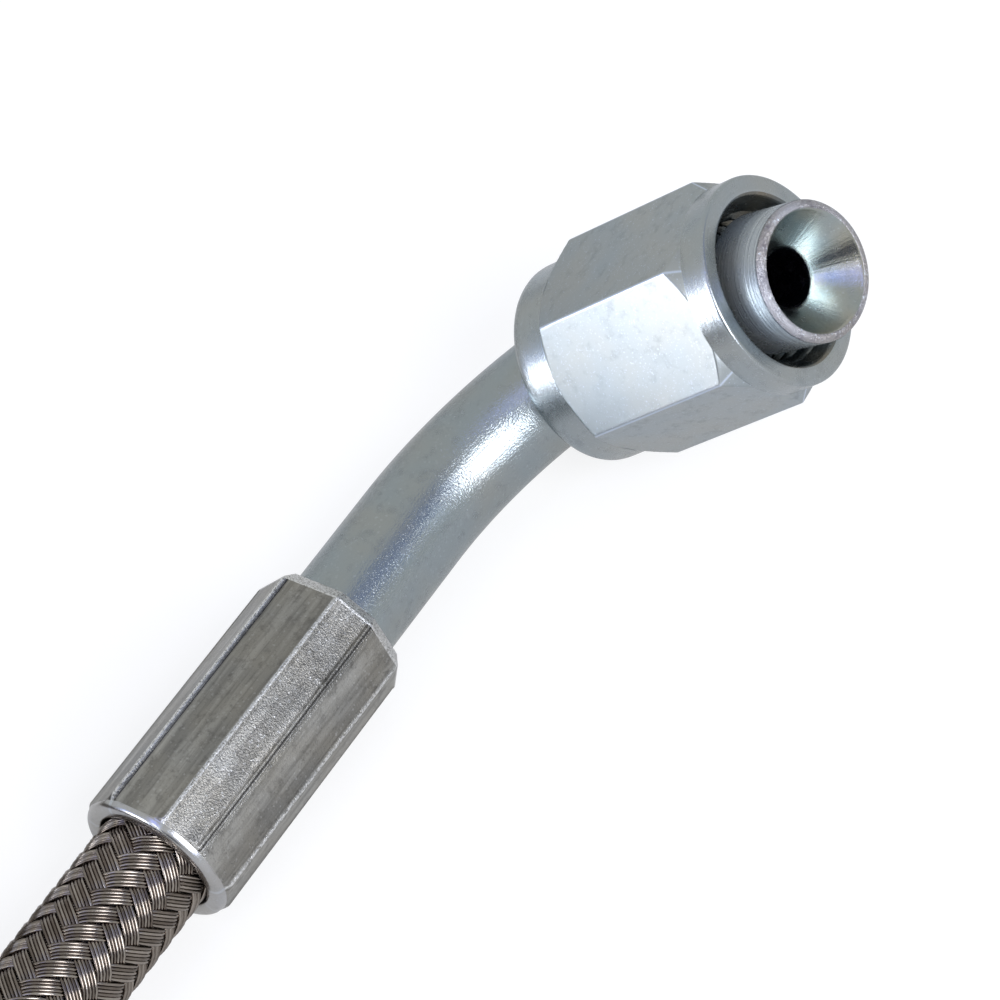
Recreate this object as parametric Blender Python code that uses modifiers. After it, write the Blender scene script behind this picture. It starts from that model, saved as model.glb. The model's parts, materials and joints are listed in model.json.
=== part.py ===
"""Braided oil feed line for a turbocharger: a steel braided hose with a crimped swivel fitting at
each end, one on a bent stem and one on a straight stem.

Frame: metres, +Z up. +X runs along the hose and the bent end's ferrule, toward its stem. The origin
is on the crimped flat that the bent end's ferrule lies on, in the middle of its width and 10.2 mm
behind its nose end.
"""
import math

import bpy
import bmesh
from mathutils import Matrix, Vector

MM = 0.001

# Swivel nut, 9/16 in across flats for a 7/16-20 thread
NUT_ACROSS_FLATS = 14.3 * MM
NUT_SIDES = 6
NUT_LENGTH = 18.2 * MM
NUT_FRONT_COLLAR = 2.0 * MM
NUT_REAR_COLLAR = 3.0 * MM
NUT_CHAMFER_LENGTH = 0.9 * MM
NUT_FRONT_RISE = 0.2 * MM
NUT_REAR_RISE = 0.05 * MM
NUT_EDGE = 0.2 * MM
NUT_REAR_EDGE = 0.9 * MM
NUT_REAR_ROUNDING = 0.3
NUT_MOUTH_RADIUS = 6.06 * MM
NUT_MOUTH_DEPTH = 2.0 * MM
THREAD_MINOR_RADIUS = 4.95 * MM
THREAD_END = 7.0 * MM
NUT_RELIEF_RADIUS = 5.75 * MM
NUT_SEAT_DEPTH = 1.1 * MM
NUT_LIP_LENGTH = 0.65 * MM
NUT_LIP_EDGE = 1.2 * MM
NUT_LIP_CLEARANCE = 0.74 * MM

# Stem: tube, neck and round nose with its inner cone
TUBE_RADIUS = 3.97 * MM
STEM_BORE_RADIUS = 2.0 * MM
NOSE_RADIUS = 4.75 * MM
NOSE_LENGTH = 5.2 * MM
NOSE_BACK = 1.0 * MM
NOSE_EDGE = 0.12 * MM
CONE_MOUTH_RADIUS = 4.15 * MM
CONE_HALF_ANGLE = math.radians(37)
NECK_RADIUS = 3.4 * MM
NECK_END = 11.3 * MM
NECK_TAPER = 3.4 * MM
BEND_RADIUS = 19.45 * MM
BEND_ANGLE = math.radians(90)
NOSE_STRAIGHT = 8.65 * MM
TUBE_STRAIGHT = 9.5 * MM
STRAIGHT_STEM_LENGTH = 27.0 * MM

# How the loose nuts lie on their stems
NUT_SETBACK = 3.9 * MM
NUT_COCK = math.radians(14.4)
NUT_ROLL = math.radians(10.2)
NUT_SIDE_SHIFT = 0.3 * MM
NUT_LIFT = 0.15 * MM
FAR_NUT_SETBACK = 4.0 * MM
FAR_NUT_ROLL = math.radians(30)
NOSE_LIFT = math.radians(34.3)

# Crimped ferrule
FERRULE_FLATS = 10.5 * MM
FERRULE_SIDES = 8
FERRULE_RIDGE = 0.08 * MM
FERRULE_LENGTH = 21.3 * MM
FERRULE_NOSE_X = 10.2 * MM
FERRULE_NOSE_CHAMFER = 0.55 * MM
FERRULE_NOSE_TAPER = 0.9 * MM
FERRULE_MOUTH_EDGE = 0.35 * MM
FERRULE_LIP = 2.6 * MM

# Hose, its layers and the barbed nipple in them
HOSE_RADIUS = 4.0 * MM
BRAID_WALL = 0.45 * MM
LINER_WALL = 0.55 * MM
NIPPLE_WALL = 0.6 * MM
BARB_HEIGHT = 0.12 * MM
BARB_COUNT = 5
BARB_PITCH = 2.3 * MM
BARB_FALL = 0.4
COLLAR_LENGTH = 2.0 * MM
TUBE_IN_FERRULE = 3.2 * MM
NIPPLE_SHORTFALL = 1.2 * MM
LAYER_GAP = 0.12 * MM
SEAT_GAP = 0.3 * MM

# Stored hose: one coil beside the line, held by two ties
COIL_RADIUS = 48.0 * MM
COIL_CENTRE_X = -61.0 * MM
COIL_LAYERS = 2
TURN_PITCH = 8.1 * MM
TIE_WIDTH = 4.0 * MM
TIE_GAP = 0.3 * MM
TIE_ANGLES = {"coil_tie_front": math.radians(215), "coil_tie_back": math.radians(120)}

# Far fitting beside the coil, its loose nut just clear of the ground
FAR_MOUTH_X = 35.1 * MM
FLOOR_CLEARANCE = 0.15 * MM

# How far cutters reach past what they cut, and the share of the bore that the cone ends in
CUTTER_SPARE = 1.0 * MM
CONE_SPARE = 0.5 * MM
CONE_TIP = 0.8

# Fineness of the round pieces
ROUND_STEPS = 48
INNER_STEPS = 24
COIL_ARC_STEPS = 4
TIE_END_STEPS = 6
TUBE_SIDES_RESOLUTION = 14
BEND_STEPS = 18
HOSE_SIDES_RESOLUTION = 4

NUT_CORNER_RADIUS = NUT_ACROSS_FLATS / 2 / math.cos(math.pi / NUT_SIDES)
NUT_FRONT_RADIUS = NUT_ACROSS_FLATS / 2 + NUT_FRONT_RISE
NUT_REAR_RADIUS = NUT_ACROSS_FLATS / 2 + NUT_REAR_RISE
NUT_LIP_RADIUS = TUBE_RADIUS + NUT_LIP_CLEARANCE
FERRULE_APOTHEM = FERRULE_FLATS / 2
FERRULE_CORNER = FERRULE_APOTHEM / math.cos(math.pi / FERRULE_SIDES)
FERRULE_RADIUS = FERRULE_CORNER - FERRULE_RIDGE
FERRULE_BORE = HOSE_RADIUS + LAYER_GAP
HALF_FERRULE = FERRULE_LENGTH / 2
AXIS_HEIGHT = FERRULE_APOTHEM
FAR_AXIS_HEIGHT = NUT_CORNER_RADIUS + FLOOR_CLEARANCE
COIL_CENTRE_Y = COIL_RADIUS
COIL_BASE = AXIS_HEIGHT - HOSE_RADIUS
TIE_THICKNESS = COIL_BASE - TIE_GAP
FAR_Y = COIL_CENTRE_Y + COIL_RADIUS

BENT_FERRULE = Vector((FERRULE_NOSE_X - HALF_FERRULE, 0, AXIS_HEIGHT))
FAR_FERRULE = Vector((FAR_MOUTH_X + HALF_FERRULE, FAR_Y, FAR_AXIS_HEIGHT))
HOSE_AXIS = Vector((1, 0, 0))
NOSE_AXIS = Vector((0, -math.cos(NOSE_LIFT), math.sin(NOSE_LIFT)))

# Route of the hose outside the coil, chosen by hand; the coil's own turns are a ring
RUN_ROUTE = [
    (-11.4, 0.0, 5.25), (-16.5, 0.0, 5.25), (-22.0, 0.0, 5.25), (-27.0, 0.0, 5.25), (-32.2, 0.0, 5.25),
]
TAIL_ROUTE = [
    (-32.2, 96.0, 12.2), (-22.0, 96.0, 11.3), (-12.0, 96.0, 10.4), (-2.0, 96.0, 9.6), (8.0, 96.0, 8.95),
    (18.0, 96.0, 8.5), (27.0, 96.0, 8.4), (34.8, 96.0, 8.4),
]


def clear_scene():
    """Removes every object of the open scene."""
    for item in list(bpy.data.objects):
        bpy.data.objects.remove(item, do_unlink=True)


def make_collection(name):
    collection = bpy.data.collections.new(name)
    bpy.context.scene.collection.children.link(collection)
    return collection


def make_material(name, colour, roughness, metallic):
    material = bpy.data.materials.new(name)
    material.use_nodes = True
    shader = material.node_tree.nodes["Principled BSDF"]
    shader.inputs["Base Color"].default_value = (*colour, 1)
    shader.inputs["Roughness"].default_value = roughness
    shader.inputs["Metallic"].default_value = metallic
    return material


def frame_at(origin, axis, sideways):
    """A matrix whose +Z is the axis and whose +X lies toward sideways."""
    z = axis.normalized()
    x = (sideways - z * sideways.dot(z)).normalized()
    y = z.cross(x)
    turn = Matrix((x, y, z)).transposed().to_4x4()
    return Matrix.Translation(origin) @ turn


def add_object(name, mesh, collection, place, material=None, parent=None):
    item = bpy.data.objects.new(name, mesh)
    collection.objects.link(item)
    if material:
        mesh.materials.append(material)
    if parent:
        item.parent = parent
        item.matrix_parent_inverse = parent.matrix_world.inverted()
    item.matrix_world = place
    bpy.context.view_layer.update()
    return item


def smooth(item, angle=math.radians(35)):
    item.data.shade_smooth()
    item.data.set_sharp_from_angle(angle=angle)


def turned(name, profile, collection, place, material=None, parent=None, steps=ROUND_STEPS):
    """A ring turned about its own Z: the profile is a closed loop of (radius, height) pairs that
    runs down the outer side and up the bore."""
    mesh = bpy.data.meshes.new(name)
    shape = bmesh.new()
    points = [shape.verts.new((radius, 0, height)) for radius, height in profile]
    for first, second in zip(points, points[1:] + points[:1]):
        shape.edges.new((first, second))
    shape.to_mesh(mesh)
    shape.free()
    item = add_object(name, mesh, collection, place, material, parent)
    screw = item.modifiers.new("turn", "SCREW")
    screw.axis = "Z"
    screw.angle = math.tau
    screw.steps = steps
    screw.render_steps = steps
    screw.use_merge_vertices = True
    screw.merge_threshold = 0.00001
    return item


def hide_cutter(item):
    item.hide_render = True
    item.display_type = "WIRE"


def prism_cutter(name, sides, apothem, length, collection, place):
    """A many-sided bar along its own +Z from a little before zero to a little past the length."""
    mesh = bpy.data.meshes.new(name)
    shape = bmesh.new()
    corner = apothem / math.cos(math.pi / sides)
    bmesh.ops.create_cone(shape, cap_ends=True, segments=sides, radius1=corner, radius2=corner,
                          depth=length + 2 * CUTTER_SPARE)
    bmesh.ops.translate(shape, verts=shape.verts, vec=(0, 0, length / 2))
    bmesh.ops.rotate(shape, verts=shape.verts, cent=(0, 0, 0),
                     matrix=Matrix.Rotation(math.pi / sides, 3, "Z"))
    shape.to_mesh(mesh)
    shape.free()
    item = add_object(name, mesh, collection, place)
    hide_cutter(item)
    return item


def flats_cutter(name, place, collection):
    """What lies outside the nut's six flats, between its two round collars."""
    length = NUT_LENGTH - NUT_FRONT_COLLAR - NUT_REAR_COLLAR
    start = place @ Matrix.Translation((0, 0, -NUT_LENGTH + NUT_REAR_COLLAR))
    mesh = bpy.data.meshes.new(name)
    shape = bmesh.new()
    around = NUT_CORNER_RADIUS + 2 * CUTTER_SPARE
    bmesh.ops.create_cone(shape, cap_ends=True, segments=ROUND_STEPS, radius1=around, radius2=around,
                          depth=length)
    bmesh.ops.translate(shape, verts=shape.verts, vec=(0, 0, length / 2))
    shape.to_mesh(mesh)
    shape.free()
    item = add_object(name, mesh, collection, start)
    hide_cutter(item)
    core = prism_cutter(name + "_core", NUT_SIDES, NUT_ACROSS_FLATS / 2, length, collection, start)
    boolean(item, core, "DIFFERENCE")
    return item


def boolean(item, cutter, operation):
    step = item.modifiers.new(cutter.name, "BOOLEAN")
    step.object = cutter
    step.operation = operation
    step.solver = "EXACT"


def swept(name, path, collection, resolution, material=None, parent=None):
    """A tube along a path of (point, radius) pairs, as a mesh with closed ends."""
    curve = bpy.data.curves.new(name, "CURVE")
    curve.dimensions = "3D"
    curve.bevel_depth = 1.0
    curve.bevel_resolution = resolution
    curve.use_fill_caps = True
    spline = curve.splines.new("POLY")
    spline.points.add(len(path) - 1)
    for point, (place, radius) in zip(spline.points, path):
        point.co = (*place, 1)
        point.radius = radius
    rope = bpy.data.objects.new(name + "_path", curve)
    collection.objects.link(rope)
    bpy.context.view_layer.update()
    graph = bpy.context.evaluated_depsgraph_get()
    mesh = bpy.data.meshes.new_from_object(rope.evaluated_get(graph))
    place = rope.matrix_world.copy()
    bpy.data.objects.remove(rope, do_unlink=True)
    shape = bmesh.new()
    shape.from_mesh(mesh)
    bmesh.ops.remove_doubles(shape, verts=shape.verts, dist=0.000001)
    shape.to_mesh(mesh)
    shape.free()
    mesh.materials.clear()
    return add_object(name, mesh, collection, place, material, parent)


def stem_radius(distance):
    """The stem's outer radius at a distance behind its nose face, past the nose."""
    share = (distance - NECK_END) / NECK_TAPER
    share = min(1.0, max(0.0, share))
    return NECK_RADIUS + (TUBE_RADIUS - NECK_RADIUS) * share


def nose_path(face, axis):
    """The nose and its back, from the face inward, as (point, radius) pairs."""
    return [
        (face, NOSE_RADIUS - NOSE_EDGE),
        (face - axis * NOSE_EDGE, NOSE_RADIUS),
        (face - axis * NOSE_LENGTH, NOSE_RADIUS),
        (face - axis * (NOSE_LENGTH + NOSE_BACK), NECK_RADIUS),
    ]


def bent_stem_path():
    """Centre line of the bent stem from its nose face to its foot in the ferrule."""
    foot = BENT_FERRULE + HOSE_AXIS * (HALF_FERRULE - TUBE_IN_FERRULE)
    bend_start = BENT_FERRULE + HOSE_AXIS * (HALF_FERRULE + TUBE_STRAIGHT)
    centre = bend_start + NOSE_AXIS * BEND_RADIUS
    path = [(foot, TUBE_RADIUS), (bend_start, TUBE_RADIUS)]
    arc = BEND_ANGLE * BEND_RADIUS
    for step in range(1, BEND_STEPS + 1):
        turn = BEND_ANGLE * step / BEND_STEPS
        point = centre + (HOSE_AXIS * math.sin(turn) - NOSE_AXIS * math.cos(turn)) * BEND_RADIUS
        behind = NOSE_STRAIGHT + arc * (1 - step / BEND_STEPS)
        path.append((point, stem_radius(behind)))
    axis = nose_axis_of_bend()
    face = path[-1][0] + axis * NOSE_STRAIGHT
    return path + list(reversed(nose_path(face, axis))), face


def nose_axis_of_bend():
    return HOSE_AXIS * math.cos(BEND_ANGLE) + NOSE_AXIS * math.sin(BEND_ANGLE)


def straight_stem_path():
    foot = FAR_FERRULE + HOSE_AXIS * (HALF_FERRULE - TUBE_IN_FERRULE)
    face = FAR_FERRULE + HOSE_AXIS * (HALF_FERRULE + STRAIGHT_STEM_LENGTH)
    taper_start = face - HOSE_AXIS * (NECK_END + NECK_TAPER)
    neck_start = face - HOSE_AXIS * NECK_END
    path = [(foot, TUBE_RADIUS), (taper_start, TUBE_RADIUS), (neck_start, NECK_RADIUS)]
    return path + list(reversed(nose_path(face, HOSE_AXIS))), face


def cone_cutter(name, face, axis, collection):
    """The seat's cone, from just outside the nose face to a point inside the bore."""
    slope = math.tan(CONE_HALF_ANGLE)
    wide = CONE_MOUTH_RADIUS + CONE_SPARE * slope
    narrow = STEM_BORE_RADIUS * CONE_TIP
    depth = (wide - narrow) / slope
    mesh = bpy.data.meshes.new(name)
    shape = bmesh.new()
    bmesh.ops.create_cone(shape, cap_ends=True, segments=ROUND_STEPS, radius1=wide, radius2=narrow,
                          depth=depth)
    bmesh.ops.translate(shape, verts=shape.verts, vec=(0, 0, depth / 2 - CONE_SPARE))
    shape.to_mesh(mesh)
    shape.free()
    item = add_object(name, mesh, collection, frame_at(face, -axis, Vector((0, 0, 1))))
    hide_cutter(item)
    return item


def make_stem(prefix, path, face, axis, parts, cutters, material, parent):
    """A bored stem with its nose and seat cone."""
    stem = swept(prefix + "_stem", path, parts, TUBE_SIDES_RESOLUTION, material, parent)
    foot = path[0][0]
    bore = [(foot - HOSE_AXIS * CUTTER_SPARE, STEM_BORE_RADIUS)]
    bore += [(point, STEM_BORE_RADIUS) for point, radius in path[1:-4]]
    bore.append((face - axis * (NOSE_LENGTH + NOSE_BACK), STEM_BORE_RADIUS))
    bore.append((face + axis * CUTTER_SPARE, STEM_BORE_RADIUS))
    bore_cutter = swept(prefix + "_bore_cutter", bore, cutters, TUBE_SIDES_RESOLUTION)
    hide_cutter(bore_cutter)
    boolean(stem, bore_cutter, "DIFFERENCE")
    boolean(stem, cone_cutter(prefix + "_cone_cutter", face, axis, cutters), "DIFFERENCE")
    smooth(stem)
    return stem


def nut_profile():
    """The nut's half section, its mouth at height zero and its rear at minus its length."""
    rear = -NUT_LENGTH
    front_corner = -(NUT_FRONT_COLLAR + NUT_CHAMFER_LENGTH)
    rear_corner = rear + NUT_REAR_COLLAR + NUT_CHAMFER_LENGTH
    lip_top = rear + NUT_LIP_EDGE + NUT_LIP_LENGTH
    return [
        (NUT_FRONT_RADIUS - NUT_EDGE, 0),
        (NUT_FRONT_RADIUS, -NUT_EDGE),
        (NUT_FRONT_RADIUS, -NUT_FRONT_COLLAR),
        (NUT_CORNER_RADIUS, front_corner),
        (NUT_CORNER_RADIUS, rear_corner),
        (NUT_REAR_RADIUS, rear + NUT_REAR_COLLAR),
        (NUT_REAR_RADIUS, rear + NUT_REAR_EDGE),
        (NUT_REAR_RADIUS - NUT_REAR_EDGE * NUT_REAR_ROUNDING, rear + NUT_REAR_EDGE * NUT_REAR_ROUNDING),
        (NUT_REAR_RADIUS - NUT_REAR_EDGE, rear),
        (NUT_LIP_RADIUS + NUT_LIP_EDGE, rear),
        (NUT_LIP_RADIUS, rear + NUT_LIP_EDGE),
        (NUT_LIP_RADIUS, lip_top),
        (NUT_RELIEF_RADIUS, lip_top + NUT_SEAT_DEPTH),
        (NUT_RELIEF_RADIUS, -THREAD_END),
        (THREAD_MINOR_RADIUS, -THREAD_END),
        (THREAD_MINOR_RADIUS, -NUT_MOUTH_DEPTH),
        (NUT_MOUTH_RADIUS, 0),
    ]


def make_nut(name, mouth, axis, sideways, roll, parts, cutters, material):
    """A swivel nut whose parent empty marks its turning axis at the centre of its mouth."""
    pivot = bpy.data.objects.new(name + "_axis", None)
    parts.objects.link(pivot)
    place = frame_at(mouth, axis, sideways) @ Matrix.Rotation(roll, 4, "Z")
    pivot.matrix_world = place
    bpy.context.view_layer.update()
    nut = turned(name, nut_profile(), parts, place, material, pivot)
    boolean(nut, flats_cutter(name + "_flats", place, cutters), "DIFFERENCE")
    smooth(nut)
    return nut


def make_ferrule(prefix, centre, parts, cutters, material, parent):
    """A crimped ferrule: a turned shell pressed to eight flats, rolled in at its nose end."""
    place = frame_at(centre, HOSE_AXIS, Vector((0, 0, 1)))
    nose_bore = TUBE_RADIUS + LAYER_GAP
    step = HALF_FERRULE - FERRULE_LIP
    profile = [
        (FERRULE_RADIUS - FERRULE_NOSE_CHAMFER, HALF_FERRULE),
        (FERRULE_RADIUS, HALF_FERRULE - FERRULE_NOSE_TAPER),
        (FERRULE_RADIUS, -HALF_FERRULE + FERRULE_MOUTH_EDGE),
        (FERRULE_RADIUS - FERRULE_MOUTH_EDGE, -HALF_FERRULE),
        (FERRULE_BORE, -HALF_FERRULE),
        (FERRULE_BORE, step),
        (nose_bore, step),
        (nose_bore, HALF_FERRULE),
    ]
    ferrule = turned(prefix + "_ferrule", profile, parts, place, material, parent)
    octagon = prism_cutter(prefix + "_octagon", FERRULE_SIDES, FERRULE_APOTHEM, FERRULE_LENGTH, cutters,
                           place @ Matrix.Translation((0, 0, -HALF_FERRULE)))
    boolean(ferrule, octagon, "INTERSECT")
    smooth(ferrule, math.radians(20))
    return ferrule


def hose_end_start():
    """Distance from the ferrule's centre to where the hose layers end against the nipple's collar."""
    return HALF_FERRULE - TUBE_IN_FERRULE - SEAT_GAP - COLLAR_LENGTH - SEAT_GAP


def make_layer(name, centre, outer, wall, parts, material, parent):
    """One layer of the hose inside the ferrule, from the collar to the ferrule's mouth."""
    place = frame_at(centre, HOSE_AXIS, Vector((0, 0, 1)))
    end = hose_end_start()
    profile = [(outer, end), (outer, -HALF_FERRULE), (outer - wall, -HALF_FERRULE), (outer - wall, end)]
    layer = turned(name, profile, parts, place, material, parent, INNER_STEPS)
    smooth(layer)
    return layer


def make_nipple(prefix, centre, outer, parts, material, parent):
    """The barbed insert: a collar against the tube's foot and a row of barbs inside the liner."""
    place = frame_at(centre, HOSE_AXIS, Vector((0, 0, 1)))
    top = HALF_FERRULE - TUBE_IN_FERRULE - SEAT_GAP
    shoulder = top - COLLAR_LENGTH
    foot = -HALF_FERRULE + NIPPLE_SHORTFALL
    bore = outer - NIPPLE_WALL
    root = outer - BARB_HEIGHT
    profile = [(HOSE_RADIUS - LAYER_GAP, top), (HOSE_RADIUS - LAYER_GAP, shoulder), (root, shoulder)]
    for barb in range(BARB_COUNT):
        crest = shoulder - BARB_PITCH * (barb + 0.5)
        profile += [(root, crest + BARB_HEIGHT), (outer, crest), (root, crest - BARB_PITCH * BARB_FALL)]
    profile += [(root, foot), (bore, foot), (bore, top)]
    nipple = turned(prefix + "_nipple", profile, parts, place, material, parent, INNER_STEPS)
    smooth(nipple)
    return nipple


def make_fitting(prefix, centre, path, face, axis, parts, cutters, finishes, parent):
    """Everything that is crimped to one end of the hose, without its loose nut."""
    liner_outer = HOSE_RADIUS - BRAID_WALL - LAYER_GAP
    nipple_outer = liner_outer - LINER_WALL - LAYER_GAP
    make_stem(prefix, path, face, axis, parts, cutters, finishes["zinc"], parent)
    make_ferrule(prefix, centre, parts, cutters, finishes["ferrule"], parent)
    make_nipple(prefix, centre, nipple_outer, parts, finishes["zinc"], parent)
    make_layer(prefix + "_liner_end", centre, liner_outer, LINER_WALL, parts, finishes["liner"], parent)
    make_layer(prefix + "_braid_end", centre, HOSE_RADIUS, BRAID_WALL, parts, finishes["braid"], parent)


def make_coil(parts, material, parent):
    """The outer shape of the wound turns: a ring whose section is two hoses high."""
    height = 2 * HOSE_RADIUS + TURN_PITCH * (COIL_LAYERS - 1)
    arc_steps = COIL_ARC_STEPS
    profile = []
    for step in range(arc_steps + 1):
        turn = math.pi / 2 - math.pi / 2 * step / arc_steps
        profile.append((COIL_RADIUS + HOSE_RADIUS * math.cos(turn),
                        height - HOSE_RADIUS + HOSE_RADIUS * math.sin(turn)))
    for step in range(1, 2 * arc_steps + 1):
        turn = -math.pi / 2 * (step - 1) / arc_steps
        profile.append((COIL_RADIUS + HOSE_RADIUS * math.cos(turn), HOSE_RADIUS + HOSE_RADIUS * math.sin(turn)))
    for step in range(1, arc_steps + 1):
        turn = math.pi - math.pi / 2 * (step - 1) / arc_steps
        profile.append((COIL_RADIUS + HOSE_RADIUS * math.cos(turn),
                        height - HOSE_RADIUS + HOSE_RADIUS * math.sin(turn)))
    place = Matrix.Translation((COIL_CENTRE_X, COIL_CENTRE_Y, COIL_BASE))
    coil = turned("hose_coil", profile, parts, place, material, parent)
    smooth(coil, math.radians(60))
    return coil


def stadium(curve, half_width, half_height, steps=TIE_END_STEPS):
    """A closed outline with round ends: half_width is also the radius of its ends."""
    spline = curve.splines.new("POLY")
    points = []
    for end, start in ((1, 0.0), (-1, math.pi)):
        for step in range(steps + 1):
            turn = start + math.pi * step / steps
            points.append((half_width * math.cos(turn),
                           end * (half_height - half_width) + half_width * math.sin(turn)))
    spline.points.add(len(points) - 1)
    for point, (x, y) in zip(spline.points, points):
        point.co = (x, y, 0, 1)
    spline.use_cyclic_u = True


def make_tie(name, angle, parts, material, parent):
    """A strap round the coil's bundle, lying on the ground below it."""
    half_height = HOSE_RADIUS + TURN_PITCH * (COIL_LAYERS - 1) / 2
    curve = bpy.data.curves.new(name, "CURVE")
    curve.dimensions = "2D"
    curve.fill_mode = "BOTH"
    curve.extrude = TIE_WIDTH / 2
    stadium(curve, HOSE_RADIUS + TIE_GAP + TIE_THICKNESS, half_height + TIE_GAP + TIE_THICKNESS)
    stadium(curve, HOSE_RADIUS + TIE_GAP, half_height + TIE_GAP)
    radial = Vector((math.cos(angle), math.sin(angle), 0))
    centre = Vector((COIL_CENTRE_X, COIL_CENTRE_Y, COIL_BASE + half_height)) + radial * COIL_RADIUS
    along = radial.cross(Vector((0, 0, 1)))
    tie = bpy.data.objects.new(name, curve)
    parts.objects.link(tie)
    tie.parent = parent
    tie.matrix_world = frame_at(centre, along, radial)
    curve.materials.append(material)
    return tie


def make_hose(name, route, parts, material, parent):
    """A free stretch of hose along its route."""
    curve = bpy.data.curves.new(name, "CURVE")
    curve.dimensions = "3D"
    curve.bevel_depth = HOSE_RADIUS
    curve.bevel_resolution = HOSE_SIDES_RESOLUTION
    curve.use_fill_caps = True
    spline = curve.splines.new("POLY")
    spline.points.add(len(route) - 1)
    for point, place in zip(spline.points, route):
        point.co = (*(value * MM for value in place), 1)
    curve.materials.append(material)
    hose = bpy.data.objects.new(name, curve)
    parts.objects.link(hose)
    hose.parent = parent
    return hose


def make_finishes():
    return {
        "zinc": make_material("bright_zinc", (0.72, 0.75, 0.77), 0.28, 1.0),
        "ferrule": make_material("satin_stainless", (0.52, 0.51, 0.49), 0.38, 1.0),
        "braid": make_material("braided_stainless", (0.42, 0.39, 0.36), 0.35, 1.0),
        "liner": make_material("white_liner", (0.85, 0.85, 0.83), 0.45, 0.0),
        "tie": make_material("black_strap", (0.03, 0.03, 0.03), 0.6, 0.0),
    }


def main():
    clear_scene()
    parts = make_collection("oil_feed_line")
    cutters = make_collection("cutters")
    finishes = make_finishes()
    line = bpy.data.objects.new("line", None)
    parts.objects.link(line)

    bent_path, bent_face = bent_stem_path()
    bent_axis = nose_axis_of_bend()
    make_fitting("elbow", BENT_FERRULE, bent_path, bent_face, bent_axis, parts, cutters, finishes, line)
    cocked = Matrix.Rotation(-NUT_COCK, 3, HOSE_AXIS.cross(NOSE_AXIS)) @ bent_axis
    outward = (HOSE_AXIS - cocked * HOSE_AXIS.dot(cocked)).normalized()
    mouth = bent_face - bent_axis * NUT_SETBACK / math.cos(NUT_COCK)
    mouth += outward * NUT_SIDE_SHIFT + outward.cross(cocked) * NUT_LIFT
    make_nut("elbow_nut", mouth, cocked, outward, NUT_ROLL, parts, cutters, finishes["zinc"])

    far_path, far_face = straight_stem_path()
    make_fitting("straight", FAR_FERRULE, far_path, far_face, HOSE_AXIS, parts, cutters, finishes, line)
    far_mouth = far_face - HOSE_AXIS * FAR_NUT_SETBACK
    upward = Vector((0, 0, 1))
    make_nut("straight_nut", far_mouth, HOSE_AXIS, upward, FAR_NUT_ROLL, parts, cutters, finishes["zinc"])

    make_hose("hose_run", RUN_ROUTE, parts, finishes["braid"], line)
    make_coil(parts, finishes["braid"], line)
    make_hose("hose_tail", TAIL_ROUTE, parts, finishes["braid"], line)
    for name, angle in TIE_ANGLES.items():
        make_tie(name, angle, parts, finishes["tie"], line)


main()
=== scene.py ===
"""The looks of a steel braided oil feed line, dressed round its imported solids.

The line lies on a pale floor: a bent stem with a loose swivel nut, a crimped ferrule, braided hose
wound in a small coil, and a straight fitting of the same kind at the far end. Lengths are in metres.
"""

import bisect
import json
import logging
import math
from dataclasses import dataclass, field, replace
from enum import Enum, IntEnum
from functools import cache
from typing import Callable, Iterable, Optional

import bmesh
import bpy
from mathutils import Matrix, Vector


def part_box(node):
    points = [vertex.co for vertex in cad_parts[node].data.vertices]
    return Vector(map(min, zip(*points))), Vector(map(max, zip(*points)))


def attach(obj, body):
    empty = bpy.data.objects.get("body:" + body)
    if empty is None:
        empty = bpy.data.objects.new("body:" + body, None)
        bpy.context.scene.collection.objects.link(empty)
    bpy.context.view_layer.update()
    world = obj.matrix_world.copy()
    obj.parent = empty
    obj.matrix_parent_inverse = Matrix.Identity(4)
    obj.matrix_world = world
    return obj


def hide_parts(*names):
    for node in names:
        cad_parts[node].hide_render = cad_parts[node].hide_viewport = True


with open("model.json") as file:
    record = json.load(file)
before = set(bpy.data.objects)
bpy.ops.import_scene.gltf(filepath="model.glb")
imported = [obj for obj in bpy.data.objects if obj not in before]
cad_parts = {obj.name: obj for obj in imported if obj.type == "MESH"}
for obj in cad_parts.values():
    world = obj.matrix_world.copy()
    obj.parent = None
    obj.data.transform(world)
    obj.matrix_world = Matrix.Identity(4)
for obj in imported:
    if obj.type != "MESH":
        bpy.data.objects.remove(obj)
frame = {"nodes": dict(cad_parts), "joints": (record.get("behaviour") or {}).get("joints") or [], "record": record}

LOG = logging.getLogger("oil_feed_line")
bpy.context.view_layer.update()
MM = 0.001
TAU = math.tau
HALF_FLAT = TAU / 12
UP = Vector((0, 0, 1))

RingRule = Callable[["Ring", float], tuple[float, float]]
Colour = tuple[float, float, float]


class Body(Enum):
    """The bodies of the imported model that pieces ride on."""

    LINE = "line"
    BENT_NUT = "bent_end_nut"
    STRAIGHT_NUT = "straight_end_nut"


class Slot(Enum):
    """The record's material slots."""

    ZINC = "bright_zinc"
    FERRULE = "satin_stainless"
    BRAID = "braided_stainless"
    LINER = "white_liner"
    STRAP = "black_strap"


class Kind(Enum):
    """What an outline's stretch is shaped to, round its axis."""

    PLAIN = "plain"
    HEXAGON = "hexagon"
    THREAD = "thread"
    PRESSED = "pressed"
    LIP = "lip"
    BEVEL = "bevel"


class NutCover(IntEnum):
    """The order of a nut's finishes."""

    COLLAR = 0
    FLATS = 1
    BORE = 2


class StemCover(IntEnum):
    """The order of a stem's finishes."""

    TUBE = 0
    NOSE = 1
    RIM = 2
    CONE = 3
    BORE = 4


class FerruleCover(IntEnum):
    """The order of a ferrule's finishes."""

    BODY = 0
    LIP = 1


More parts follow.
